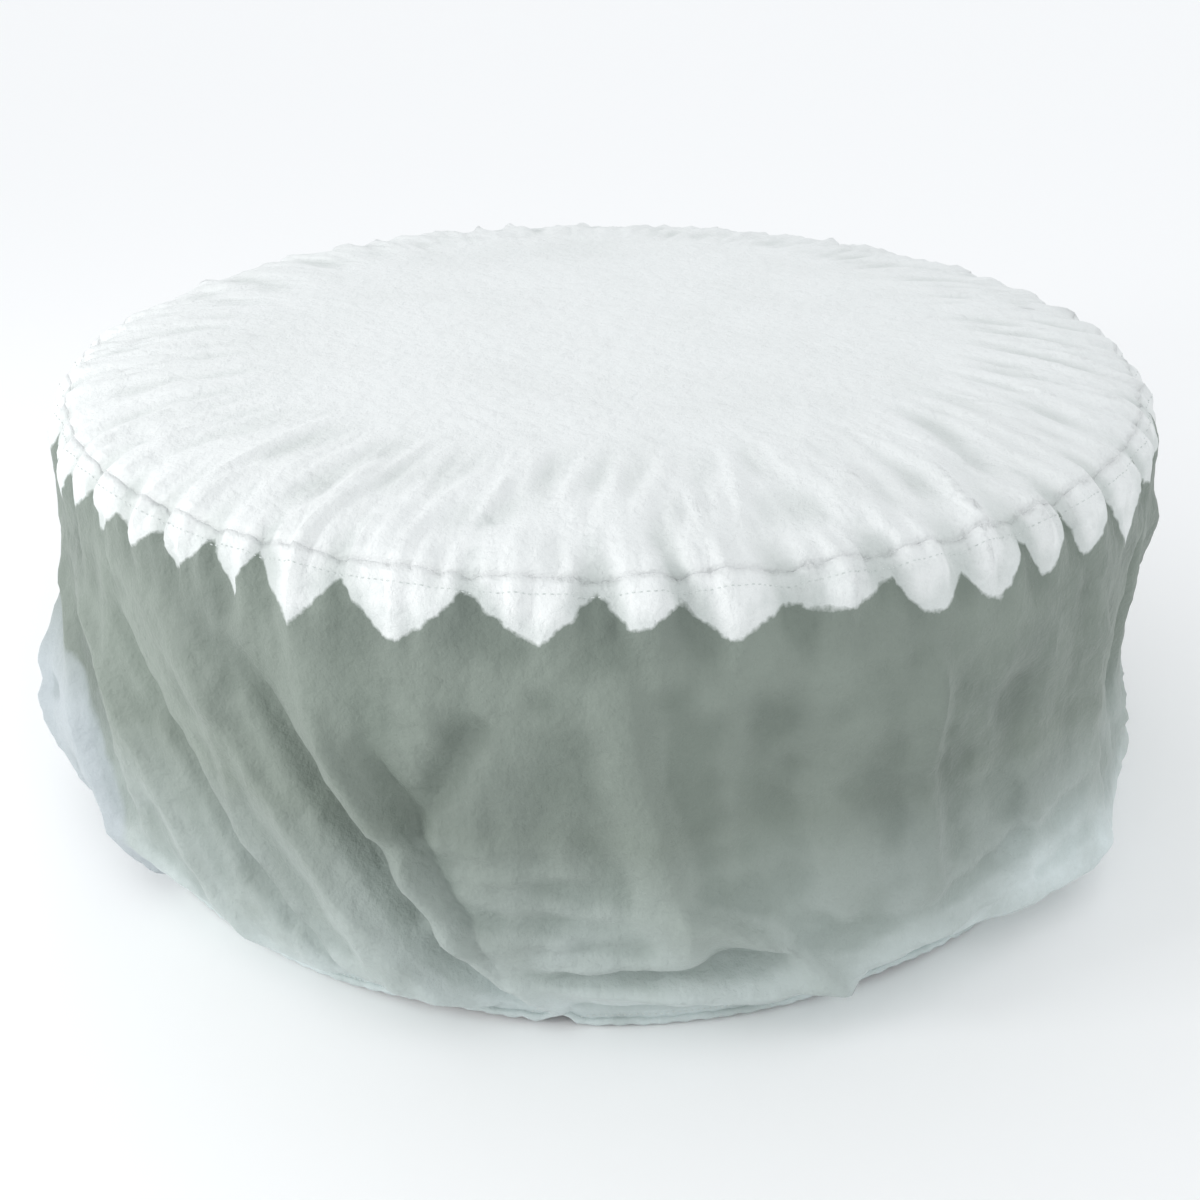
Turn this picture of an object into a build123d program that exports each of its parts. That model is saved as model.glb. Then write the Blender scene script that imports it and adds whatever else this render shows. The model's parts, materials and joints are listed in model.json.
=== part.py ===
"""Round inflatable hot tub for four people, with its inflated lid and its fitted fabric cover.

Millimetres, +Z up. The origin is on the floor under the tub's axis. The front faces -Y and the
equipment bay is built into the wall at the back, +Y.
"""
from build123d import *
from math import asin, cos, degrees, hypot, radians, sin
import os

# ---- driving dimensions -------------------------------------------------------------------
WALL_R = 890            # widest radius of the inflated wall
WELL_R = 700            # radius of the bathing well
CREST_Z = 700           # top of the inflated rim
RIM_Z = 640             # seam between the wall and the rim
SKIN = 3                # wall skins, drawn thicker than the 0.7 mm laminate
MAT_T = 4               # ground mat
MAT_R = 845
FLOOR_T = 8             # padded floor of the well

COVER_Z = 731           # top of the fabric cover
COVER_SKIN = 3
COVER_HEM_R = 914       # centre of the hem casing
COVER_HEM_Z = 11
HEM_TUBE_R = 7
HEM_CORD_R = 3.9

BAY_X = 213             # half width of the equipment bay
BAY_LOW, BAY_HIGH = 40, 560
BAY_BACK_Y = 708
BAY_WALL = 4
DOOR_T = 3
PORT_TURN = 10          # degrees of the filter and the nozzle each side of the bay's middle
PORT_Z = 170
PIPE_Y = 743.5          # plane of the pump outlet, the heater and the return hose
HEATER_Z = 410
AIR_X, AIR_Y, AIR_Z = 180, 800, 58

BUTTON_R = 8.95
BUTTON_TRAVEL = 1.5
BUTTON_BORE_R = 9
PANEL_LOW, PANEL_HIGH = 480, 560
PANEL_X = 105
PANEL_Y = 898.5         # front face of the control panel

SCREW_HOLE_R = 2.6
DOOR_LAP, DOOR_DROP, DOOR_RISE = 18, 12, 24     # how far the door covers the wall round the bay

STRAP_TURNS = (0, 50, 130, 180, 245, 295)      # degrees, round the lid
STRAP_X = 12.5          # half width of the webbing
HANDLE_TURNS = (0, 180)
HANDLE_Z = 415
WEB_STEP = 15           # degrees between the webs inside the wall
WEB_HOLES_Z = (180, 330, 480)
WEB_HOLE_R = 30

DRAIN = (225, 62, 14)   # angle, height and neck radius
VALVE = (312, 500, 11)
GLAND_TURN, GLAND_Z = 80, 75
GLAND_R, LEAD_R = 10, 4

RING_IN_R, RING_HIGH, RING_WALL = 655, 72, 2.5          # bubble ring
JET_CIRCLE_R, JET_R, JET_COUNT = 676, 2, 60
AIR_PORT_R, AIR_PORT_BORE = 9, 6

FILTER_R, FILTER_WALL = 62, 3
PORT_PIPE_R = 19
PUMP_R, PUMP_BORE_R, PUMP_FRONT, PUMP_BACK = 50, 44, 735, 777
SHAFT_R, SHAFT_BORE_R = 5, 5.06
MOTOR_R, MOTOR_END = 38, 852
HEATER_R, HEATER_X = 24, 70
HOSE_R, HOSE_BORE_R = 12, 8
CLAMP_R = 13.6
BLOWER_X, BLOWER_Z, BLOWER_R, BLOWER_BORE_R = 20, 135, 50, 46
BLOWER_FRONT, BLOWER_DEPTH = 765, 62
AIR_HOSE_R, AIR_HOSE_BORE_R, AIR_HOSE_TOP = 9, 6.5, 455

PAD_REACH, PAD_BULGE, PAD_MID_Z = 620, 670, 656         # inflated pad of the lid
PAD_LOW, PAD_SKIN = 606, 2
LID_HANG = 20           # how far the lid's edge hangs below the rim seam
LID_FREE, LID_SKIN = 1.6, 2.8
ZIP_R, ZIP_HALF, ZIP_LOW = 560, 8, 601.2
ZIP_TURNS = range(30, 151, 20)
FILL_VALVE_Y, FILL_VALVE_R = -250, 14

WALL_LINE = [(864, 4), (884.5, 30), (WALL_R, 330), (885, 639)]      # foot, corner, middle, top
COVER_TOP_LINE = [(0, COVER_Z), (420, COVER_Z), (690, 729), (790, 722),
                  (850, 703), (880, 681), (896, 659), (906, 636)]
COVER_SKIRT_LINE = [(906.3, 635), (922, 596), (940, 525), (930, 390),
                    (936, 280), (962, 165), (948, 75), (COVER_HEM_R, 19)]
LID_LINE = [(0, 722), (350, 720), (620, 714), (740, 708)]
GATHER_LOW, GATHER_HIGH = 605, 628      # elastic behind the cover's gathered seam


# ---- helpers ------------------------------------------------------------------------------
def offset_line(line, distance):
    """The same line moved sideways, outwards where distance is positive."""
    moved = []
    for i, (r, z) in enumerate(line):
        r0, z0 = line[max(i - 1, 0)]
        r1, z1 = line[min(i + 1, len(line) - 1)]
        run = hypot(r1 - r0, z1 - z0)
        moved.append((r + distance * (z1 - z0) / run, z - distance * (r1 - r0) / run))
    return moved


def turned(face_lines):
    """Closed profile in (radius, height), turned round the tub's axis."""
    return revolve(Plane.XZ * make_face(Wire(face_lines)), Axis.Z, 360)


def side_edges(line):
    """A straight foot and one long arc for the wall, or a smooth curve for anything longer."""
    if len(line) == len(WALL_LINE):
        return [Line(line[0], line[1]), ThreePointArc(line[1], line[2], line[3])]
    return [Spline(*line)]


def skin(line, inner, outer):
    """A turned shell between two offsets of a line, drawn from the bottom up."""
    near, far = offset_line(line, inner), offset_line(line, outer)
    ends = [Line(far[-1], near[-1]), Line(near[0], far[0])]
    return turned(side_edges(far) + side_edges(near) + ends)


def filled(line, distance):
    """The whole round body inside an offset of a line that runs from the bottom up."""
    side = offset_line(line, distance)
    low, high = (0, side[0][1]), (0, side[-1][1])
    return turned(side_edges(side) + [Line(side[-1], high), Line(high, low), Line(low, side[0])])


def ring(r_in, r_out, low, high):
    """A plain flat ring."""
    return Pos(0, 0, low) * extrude(Circle(r_out) - Circle(r_in), high - low)


def disc(r, low, high):
    """A plain disc."""
    return Pos(0, 0, low) * extrude(Circle(r), high - low)


def block(x0, x1, y0, y1, z0, z1):
    """A box from corner to corner."""
    return Pos((x0 + x1) / 2, (y0 + y1) / 2, (z0 + z1) / 2) * Box(x1 - x0, y1 - y0, z1 - z0)


def outward(turn, z):
    """A frame on the tub's axis whose own Z points outwards at an angle, and whose X is up."""
    c, s = cos(radians(turn)), sin(radians(turn))
    return Plane(origin=(0, 0, z), x_dir=(0, 0, 1), z_dir=(c, s, 0))


def rod(turn, z, r, start, end):
    """A round bar along the radius at an angle, from one distance to another."""
    return outward(turn, z) * Pos(0, 0, start) * extrude(Circle(r), end - start)


def back_rod(x, y, z, r, length):
    """A round bar straight back along Y from a point."""
    return Pos(x, y, z) * Rot(-90, 0, 0) * extrude(Circle(r), length)


def tube(turn, z, r_out, r_in, start, end):
    """A round tube along the radius at an angle."""
    return rod(turn, z, r_out, start, end) - rod(turn, z, r_in, start - 1, end + 1)


def hose(points, bend, r_out, r_in):
    """A hose of straight runs joined by round bends."""
    path = FilletPolyline(*points, radius=bend)
    start = Plane(origin=path @ 0, z_dir=path % 0)
    return sweep(start * (Circle(r_out) - Circle(r_in)), path)


def sector(r_in, r_out, turn, half, low, high):
    """A piece of a ring, half an angle each side of a direction."""
    far = r_out * 1.2
    a, b = radians(turn - half), radians(turn + half)
    wedge = Polyline((0, 0), (far * cos(a), far * sin(a)), (far * cos(b), far * sin(b)), (0, 0))
    cut = Pos(0, 0, low) * extrude(make_face(wedge), high - low)
    return ring(r_in, r_out, low, high) & cut


def save(node, *shapes):
    """Write one node as a STEP file."""
    solids = [solid for shape in shapes for solid in shape.solids()]
    export_step(Compound(children=solids), f"parts/{node}.step")


# ---- the inflated wall --------------------------------------------------------------------
def port_holes(r, start, end):
    """The two water ports through the inner wall and the bay's back."""
    return [rod(90 + side * PORT_TURN, PORT_Z, r, start, end) for side in (-1, 1)]


def air_hole(r, y0, y1):
    """The air port, straight along Y."""
    return back_rod(AIR_X, y0, AIR_Z, r, y1 - y0)


def bay_window():
    """The opening for the equipment bay, cut through the wall and the gasket."""
    return block(-BAY_X - 1, BAY_X + 1, 600, 1000, BAY_LOW - 1, BAY_HIGH + 1)


def rim_half():
    """Middle radius and half width of the rim."""
    near, far = WELL_R + SKIN, WALL_R - 5
    return (near + far) / 2, (far - near) / 2


def screw_turns():
    """Where the door's screws sit: angle and height."""
    edge = degrees(asin(222 / (WALL_R + DOOR_T)))
    side = [(90 + s * edge, z) for s in (-1, 1) for z in (60, 225, 390, 550)]
    top = [(90 + s * 5, 572) for s in (-1, 1)]
    return side + top


def screw_holes(r):
    """Clearance through everything that the door's screws pass."""
    return [rod(turn, z, r, WALL_R - 30, WALL_R + 12) for turn, z in screw_turns()]


def build_wall():
    """The outer and the inner skin of the air chamber."""
    outer = skin(WALL_LINE, -SKIN, 0) - bay_window()
    for hole in screw_holes(SCREW_HOLE_R):
        outer -= hole
    for turn, z, neck in (DRAIN, VALVE):
        outer -= rod(turn, z, neck + 0.1, WALL_R - 60, WALL_R + 20)
    save("outer_wall", outer)

    inner = ring(WELL_R, WELL_R + SKIN, MAT_T + 4, RIM_Z - 0.5)
    for hole in port_holes(PORT_PIPE_R + 0.1, WELL_R - 20, WELL_R + 10):
        inner -= hole
    inner -= air_hole(AIR_PORT_R + 0.1, 660, 700)
    save("inner_wall", inner)


def arch_points(grow, angles):
    """Points on the rim's round section, or on one that is larger all round."""
    mid, half = rim_half()
    rise = CREST_Z - RIM_Z
    return [(mid + (half + grow) * cos(radians(a)), RIM_Z + (rise + grow) * sin(radians(a)))
            for a in angles]


def build_rim_and_floor():
    """The rounded rim, the chamber's underside, the padded floor and the ground mat."""
    arch = arch_points(0, range(0, 181, 20))
    under = arch_points(-SKIN, range(180, -1, -20))
    edges = [Spline(*arch), Line(arch[-1], under[0]), Spline(*under), Line(under[-1], arch[0])]
    save("rim_panel", turned(edges))
    save("base_panel", ring(WELL_R + SKIN + 1, WALL_LINE[0][0] - 6, MAT_T, MAT_T + SKIN))
    save("tub_floor", disc(WELL_R - 0.5, MAT_T, MAT_T + FLOOR_T))
    save("ground_mat", disc(MAT_R, 0, MAT_T))


def build_webs():
    """Pierced webs that tie the two skins together, left out where the bay is."""
    bay_half_turn = 24
    web = block(WELL_R + SKIN + 1, WALL_R - 12, -1, 1, 30, 620)
    for z in WEB_HOLES_Z:
        web -= back_rod(780, -30, z, WEB_HOLE_R, 60)
    turns = [i * WEB_STEP + WEB_STEP / 2 for i in range(360 // WEB_STEP)]
    save("wall_webs", *[Rot(0, 0, turn) * web for turn in turns if abs(turn - 90) >= bay_half_turn])


def build_welts():
    """Welded strips over the seams at the rim and at the foot, the lower one open at the door."""
    strip = skin(WALL_LINE, 0.05, 1.2)
    high_welt = strip & disc(WALL_R + 20, RIM_Z - 9, RIM_Z - 2)
    low_welt = strip & disc(WALL_R + 20, 32, 38)
    gap = BAY_X + DOOR_LAP + 1
    low_welt -= block(-gap, gap, 600, 1000, 30, 40)
    save("seam_welts", high_welt, low_welt)


# ---- fittings through the wall ------------------------------------------------------------
def build_fitting(turn, z, neck, fitting_node, cap_node):
    """A flanged neck through the outer wall, and the cap that turns on it."""
    body = rod(turn, z, neck + 9, WALL_R - 20, WALL_R + 3) - filled(WALL_LINE, 0.05)
    body += tube(turn, z, neck, neck - 3, WALL_R - 24, WALL_R + 10)
    save(fitting_node, body)
    cup = rod(turn, z, neck + 4, WALL_R + 3.3, WALL_R + 12.6)
    cup -= rod(turn, z, neck + 0.3, WALL_R + 2, WALL_R + 10.3)
    cup += outward(turn, z) * Pos(0, 0, WALL_R + 13) * Box(2 * neck, 3, 1)
    save(cap_node, cup)


def build_bubble_ring():
    """The hollow air ring round the foot of the well, with its row of jets."""
    low, r_out = MAT_T + FLOOR_T, WELL_R - 0.5
    body = ring(RING_IN_R, r_out, low, RING_HIGH)
    body -= ring(RING_IN_R + RING_WALL, r_out - RING_WALL, low + RING_WALL, RING_HIGH - RING_WALL)
    jet = Pos(JET_CIRCLE_R, 0, RING_HIGH - 5) * extrude(Circle(JET_R), 10)
    for i in range(JET_COUNT):
        body -= Rot(0, 0, 360 / JET_COUNT * i) * jet
    body -= air_hole(AIR_PORT_BORE, 640, 700)
    spigot = air_hole(AIR_PORT_R, 678, BAY_BACK_Y + 12) - air_hole(AIR_PORT_BORE, 640, 740)
    save("bubble_ring", body + (spigot - disc(r_out, low, RING_HIGH)))


def build_straps():
    """Female buckles on the wall, and the lid's straps with the prongs that clip into them.

    Returns the patches that the female buckles are welded to.
    """
    patch_skin = skin(WALL_LINE, 0.05, 1.3)
    patches, sockets, straps, plugs = [], [], [], []
    for turn in STRAP_TURNS:
        spot = Rot(0, 0, turn)
        patches.append(patch_skin & (spot * block(800, 920, -28, 28, 530, 585)))
        socket = block(889.6, 899.6, -17, 17, 538, 574)
        socket -= block(891.5, 897.5, -STRAP_X, STRAP_X, 542, 580)
        sockets.append(spot * socket)
        strap = block(889.7, 891.6, -STRAP_X, STRAP_X, 596.2, RIM_Z - 4)
        straps.append(spot * strap)
        plug = block(889.7, 896.5, -15, 15, 576, 596)
        for side in (-1, 1):
            plug += block(892.4, 896.5, side * 8 - 3.2, side * 8 + 3.2, 546, 577)
        plugs.append(spot * plug)
    save("buckle_sockets", *sockets)
    save("lid_straps", *straps)
    save("strap_plugs", *plugs)
    return patches


def build_handles():
    """Two webbing carry handles that stand off their patches. Returns the patches."""
    patch_skin = skin(WALL_LINE, 0.05, 1.3)
    patches, handles = [], []
    for turn in HANDLE_TURNS:
        spot = Rot(0, 0, turn)
        low, high = HANDLE_Z - 15, HANDLE_Z + 15
        patches.append(patch_skin & (spot * block(800, 920, -115, 115, low - 15, high + 15)))
        strap = sector(WALL_R + 1.6, WALL_R + 12, turn, 6.4, low, high)
        strap -= sector(WALL_R, WALL_R + 9.5, turn, 5.2, low - 1, high + 1)
        handles.append(strap)
    save("carry_handles", *handles)
    return patches


# ---- equipment bay ------------------------------------------------------------------------
def build_tray():
    """The moulded tray that lines the bay."""
    tray = block(-BAY_X, BAY_X, BAY_BACK_Y, 900, BAY_LOW, BAY_HIGH)
    tray -= block(-BAY_X + BAY_WALL, BAY_X - BAY_WALL, BAY_BACK_Y + BAY_WALL, 905,
                  BAY_LOW + BAY_WALL, BAY_HIGH - BAY_WALL)
    tray = tray & filled(WALL_LINE, -SKIN - 0.1)
    for hole in port_holes(PORT_PIPE_R + 0.6, BAY_BACK_Y - 12, BAY_BACK_Y + 32):
        tray -= hole
    tray -= air_hole(AIR_PORT_R + 0.1, BAY_BACK_Y - 2, BAY_BACK_Y + 8)
    save("bay_housing", tray)


def build_door():
    """The door and its gasket, which follow the round wall. The door has louvres for the blower."""
    zone = block(-BAY_X - DOOR_LAP, BAY_X + DOOR_LAP, 600, 1000, BAY_LOW - DOOR_DROP, BAY_HIGH + DOOR_RISE)
    gasket = (skin(WALL_LINE, 0.05, 1.5) & zone) - bay_window()
    door = skin(WALL_LINE, 1.55, 1.55 + DOOR_T) & zone
    for hole in screw_holes(SCREW_HOLE_R):
        gasket -= hole
        door -= hole
    door -= block(-PANEL_X + 9, PANEL_X - 9, 800, 910, PANEL_LOW + 8, PANEL_HIGH - 8)
    for i in range(6):
        door -= block(-185, -95, 800, 910, 70 + 12 * i, 76 + 12 * i)
    door -= rod(GLAND_TURN, GLAND_Z, GLAND_R + 0.1, WALL_R - 20, WALL_R + 20)
    save("door_gasket", gasket)
    save("bay_door", door)


def build_door_fittings():
    """The door's socket screws and the gland for the power lead."""
    face = WALL_R + 1.55 + DOOR_T
    screws = []
    for turn, z in screw_turns():
        head = rod(turn, z, 5, face + 0.1, face + 2.6) - rod(turn, z, 1.8, face + 1.2, face + 3)
        screws.append(head + rod(turn, z, 2.5, face - 14, face + 0.5))
    save("door_screws", *screws)
    gland = tube(GLAND_TURN, GLAND_Z, GLAND_R, LEAD_R, WALL_R - 12, WALL_R + 10)
    gland += tube(GLAND_TURN, GLAND_Z, GLAND_R + 4, GLAND_R - 1, WALL_R + 4.8, WALL_R + 8)
    save("power_gland", gland)


def button_spots():
    """Centres of the six push buttons on the control panel."""
    names = ("power", "heat", "filter", "bubbles", "warmer", "cooler")
    return [(name, -16 - 30 * (i % 3), 536 - 32 * (i // 3)) for i, name in enumerate(names)]


def build_panel():
    """Bezel, display lens, circuit board and the six buttons."""
    bezel = block(-PANEL_X, PANEL_X, 860, PANEL_Y, PANEL_LOW, PANEL_HIGH)
    bezel -= filled(WALL_LINE, 1.6 + DOOR_T)
    bezel -= block(10, 94, 850, 910, 498, 546)
    for name, x, z in button_spots():
        bezel -= back_rod(x, 860, z, BUTTON_BORE_R, 50)
        save(name + "_button", back_rod(x, 872, z, BUTTON_R, PANEL_Y + BUTTON_TRAVEL - 872))
    save("control_bezel", bezel)
    save("display_lens", block(10.1, 93.9, 890, PANEL_Y - 0.4, 498.1, 545.9))
    board = block(-92, 92, 866, 868.4, 492, 548)
    posts = [back_rod(x, 868.5, z, 3, 12) for x in (-88, 88) for z in (496, 544)]
    save("control_board", board, *posts)


def build_filter():
    """The filter cup in the well's side, its paper cartridge and the slotted cap that holds it."""
    turn = 90 + PORT_TURN
    mouth = WELL_R - 92
    cup = tube(turn, PORT_Z, FILTER_R, FILTER_R - FILTER_WALL, mouth, WELL_R - 12)
    cup += rod(turn, PORT_Z, FILTER_R + 12, WELL_R - 12, WELL_R + 4) & disc(WELL_R - 0.4, 20, 400)
    cup -= rod(turn, PORT_Z, PORT_PIPE_R - 3, WELL_R - 30, WELL_R + 40)
    cup += tube(turn, PORT_Z, PORT_PIPE_R, PORT_PIPE_R - 3, WELL_R - 8, WELL_R + 34)
    save("filter_housing", cup)
    save("filter_cartridge", tube(turn, PORT_Z, FILTER_R - 9, 22, WELL_R - 88, WELL_R - 14))

    cap = rod(turn, PORT_Z, FILTER_R + 4, WELL_R - 100, WELL_R - 78)
    cap -= rod(turn, PORT_Z, FILTER_R + 0.4, mouth - 0.5, WELL_R - 70)
    for i in range(12):
        place = outward(turn, PORT_Z) * Rot(0, 0, 30 * i) * Pos(34, 0, WELL_R - 96)
        cap -= place * Box(32, 7, 14)
    cap += outward(turn, PORT_Z) * Pos(0, 0, WELL_R - 105) * Box(70, 8, 10)
    save("filter_cap", cap)


def build_nozzle():
    """The nozzle that sends the warm water back into the well."""
    turn, bore = 90 - PORT_TURN, 12
    nozzle = rod(turn, PORT_Z, 34, WELL_R - 16, WELL_R + 4) & disc(WELL_R - 0.4, 20, 400)
    nozzle -= rod(turn, PORT_Z, bore, WELL_R - 40, WELL_R + 40)
    nozzle += tube(turn, PORT_Z, PORT_PIPE_R, bore, WELL_R - 14, WELL_R + 27)
    save("outlet_nozzle", nozzle)


def build_pump():
    """Volute, shaft, impeller and finned motor. Returns the motor's bracket."""
    turn, eye = 90 + PORT_TURN, 755
    volute = rod(turn, PORT_Z, PUMP_R, PUMP_FRONT, PUMP_BACK)
    volute -= rod(turn, PORT_Z, PUMP_BORE_R, PUMP_FRONT + 5, PUMP_BACK - 4)
    volute -= rod(turn, PORT_Z, 14, PUMP_FRONT - 5, PUMP_FRONT + 10)
    volute -= rod(turn, PORT_Z, SHAFT_R + 1.5, PUMP_BACK - 7, PUMP_BACK + 3)
    outlet = Pos(eye * cos(radians(turn)), eye * sin(radians(turn)), PORT_Z)
    spout = outlet * Pos(0, 0, 46) * extrude(Circle(11) - Circle(HOSE_BORE_R), 30)
    spout -= rod(turn, PORT_Z, PUMP_R - 0.1, PUMP_FRONT, PUMP_BACK)
    bore = outlet * Pos(0, 0, 40) * extrude(Circle(HOSE_BORE_R), 12)
    save("pump_housing", volute - bore + spout)

    save("pump_shaft", rod(turn, PORT_Z, SHAFT_R, 746, 846))
    rotor = rod(turn, PORT_Z, 13, 748, 762) - rod(turn, PORT_Z, SHAFT_R, 740, 770)
    for i in range(6):
        rotor += outward(turn, PORT_Z) * Rot(0, 0, 60 * i) * Pos(25, 0, eye) * Box(28, 3, 14)
    save("pump_impeller", rotor)

    motor = rod(turn, PORT_Z, MOTOR_R, PUMP_BACK + 0.2, MOTOR_END)
    motor -= rod(turn, PORT_Z, SHAFT_BORE_R, 770, MOTOR_END - 4)
    for i in range(16):
        motor -= outward(turn, PORT_Z) * Rot(0, 0, 22.5 * i) * Pos(MOTOR_R, 0, 816) * Box(4, 4, 60)
    save("pump_motor", motor)

    bracket = block(-190, -90, 782, 840, BAY_LOW + BAY_WALL + 0.1, PORT_Z)
    bracket -= rod(turn, PORT_Z, MOTOR_R + 0.2, 700, 900)
    bracket -= block(-176, -104, 760, 850, BAY_LOW + BAY_WALL + 6, PORT_Z - 46)
    return bracket


def build_heater():
    """A straight steel heater tube with a spigot at each end."""
    along_x = Rot(0, 90, 0)
    heater = Pos(-HEATER_X, PIPE_Y, HEATER_Z) * along_x * extrude(Circle(HEATER_R) - Circle(21), 140)
    for x in (-HEATER_X, HEATER_X - 6):
        heater += Pos(x, PIPE_Y, HEATER_Z) * along_x * extrude(Circle(HEATER_R) - Circle(HOSE_BORE_R), 6)
    for x in (-HEATER_X - 18, HEATER_X):
        heater += Pos(x, PIPE_Y, HEATER_Z) * along_x * extrude(Circle(11) - Circle(HOSE_BORE_R), 18)
    save("heater_tube", heater)


def build_water_hoses():
    """Suction, heater and return hoses, and the clamps on them."""
    fill, out = 90 + PORT_TURN, 90 - PORT_TURN
    far = abs(755 * cos(radians(fill)))
    top = PORT_Z + 76.2
    spigot_end = HEATER_X + 18.2
    save("suction_hose", tube(fill, PORT_Z, 22.5, PORT_PIPE_R + 0.05, WELL_R + 27.5, PUMP_FRONT - 0.2))
    up = [(-far, PIPE_Y, top), (-far, PIPE_Y, HEATER_Z), (-spigot_end, PIPE_Y, HEATER_Z)]
    save("heater_hose", hose(up, 30, HOSE_R, HOSE_BORE_R))
    c, s = cos(radians(out)), sin(radians(out))
    end = (c * (WELL_R + 27.4), s * (WELL_R + 27.4), PORT_Z)
    down = [(spigot_end, PIPE_Y, HEATER_Z), (far, PIPE_Y, HEATER_Z), (far, PIPE_Y, PORT_Z), end]
    save("return_hose", hose(down, 22, HOSE_R, HOSE_BORE_R))
    band = extrude(Circle(CLAMP_R) - Circle(HOSE_R + 0.05), 8)
    spots = [(-far, top + 6), (far, 300), (-far, 340)]
    save("hose_clamps", *[Pos(x, PIPE_Y, z) * band for x, z in spots])


def build_blower():
    """The blower's casing with its outlet, and the fan. Returns the cradle under it."""
    x, z, front = BLOWER_X, BLOWER_Z, BLOWER_FRONT
    inside = back_rod(x, front + 4, z, BLOWER_BORE_R, BLOWER_DEPTH - 8)
    shell = back_rod(x, front, z, BLOWER_R, BLOWER_DEPTH) - inside
    shell -= back_rod(x, front + 55, z, 22, 10)
    shell += back_rod(x, front + 4, z, 9, 14) - back_rod(x, front + 4, z, 4.06, 14)
    outlet = Pos(x + 25, AIR_Y, z + 36) * extrude(Circle(AIR_HOSE_R) - Circle(AIR_HOSE_BORE_R), 26)
    shell -= Pos(x + 25, AIR_Y, z + 30) * extrude(Circle(AIR_HOSE_BORE_R), 25)
    save("blower_housing", shell + (outlet - inside))

    fan = back_rod(x, front + 19, z, 10, 30) + back_rod(x, front + 5, z, 4, 20)
    fan += back_rod(x, front + 19, z, 42, 2)
    for i in range(18):
        fan += Pos(x, AIR_Y, z) * Rot(0, 20 * i, 0) * Pos(36, 0, 0) * Rot(0, 25, 0) * Box(11, 28, 1.6)
    save("blower_fan", fan)

    cradle = block(x - 40, x + 40, front + 7, front + 53, BAY_LOW + BAY_WALL + 0.1, z)
    return cradle - back_rod(x, 760, z, BLOWER_R + 0.2, 80)


def build_air_hose():
    """The air hose, which rises above the water before it drops to the bubble ring."""
    x, start = BLOWER_X + 25, BLOWER_Z + 62.2
    route = [(x, AIR_Y, start), (x, AIR_Y, AIR_HOSE_TOP), (AIR_X, AIR_Y, AIR_HOSE_TOP),
             (AIR_X, AIR_Y, AIR_Z), (AIR_X, BAY_BACK_Y + 12.2, AIR_Z)]
    save("air_hose", hose(route, 30, AIR_HOSE_R, AIR_HOSE_BORE_R))


# ---- lid ----------------------------------------------------------------------------------
def build_lid_sheet():
    """Leatherette sheet over the pad and the rim, with an edge that hangs outside the wall."""
    angles = (80, 60, 40, 20, 0)
    top = LID_LINE + arch_points(LID_FREE + LID_SKIN, angles)
    under = [(r, z - LID_SKIN) for r, z in LID_LINE] + arch_points(LID_FREE, angles)
    foot = RIM_Z - LID_HANG
    low_out, low_in = (top[-1][0], foot), (under[-1][0], foot)
    edges = [Spline(*top), Line(top[-1], low_out), Line(low_out, low_in),
             Line(low_in, under[-1]), Spline(*under), Line(under[0], top[0])]
    save("lid_sheet", turned(edges))


def pad_body(inset):
    """The pad's round pillow, or its hollow where an inset is given."""
    low, reach = PAD_LOW + inset, PAD_REACH
    side_top, dome = (reach, 706 - inset), (0, 715 - inset)
    edges = [Line((0, low), (reach, low)),
             ThreePointArc((reach, low), (PAD_BULGE - inset, PAD_MID_Z), side_top),
             Spline(side_top, (350, 713 - inset), dome), Line(dome, (0, low))]
    return turned(edges)


def build_pad():
    """The inflated pad with its fill valve, and the lining that holds the pad under the lid."""
    hole = Pos(0, FILL_VALVE_Y, PAD_LOW - 1) * extrude(Circle(FILL_VALVE_R), 8)
    save("lid_bladder", pad_body(0) - pad_body(PAD_SKIN) - hole)
    save("bladder_valve", Pos(0, FILL_VALVE_Y, 605.4) * extrude(Circle(FILL_VALVE_R - 0.2), 7.2))

    low, inner, reach = 602.6, 605, PAD_REACH
    edges = [Line((0, low), (reach, low)),
             ThreePointArc((reach, low), (PAD_BULGE + 3.4, PAD_MID_Z), (reach, 709.4)),
             Line((reach, 709.4), (reach, 707)),
             ThreePointArc((reach, 707), (PAD_BULGE + 1, PAD_MID_Z), (reach, inner)),
             Line((reach, inner), (0, inner)), Line((0, inner), (0, low))]
    save("lid_lining", turned(edges))


def build_zip():
    """The zip on an arc of the lining, which lets the pad out, and its slider."""
    near, far = ZIP_R - ZIP_HALF, ZIP_R + ZIP_HALF
    tape = sector(near, far, ZIP_TURNS[0], 10, ZIP_LOW, ZIP_LOW + 1.3)
    for turn in ZIP_TURNS[1:]:
        tape += sector(near, far, turn, 10, ZIP_LOW, ZIP_LOW + 1.3)
    save("lid_zip", tape)
    slider = block(near + 1, far - 1, 2, 18, ZIP_LOW - 5.2, ZIP_LOW - 0.2)
    save("zip_slider", Rot(0, 0, ZIP_TURNS[0] - 10) * slider)


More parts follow.
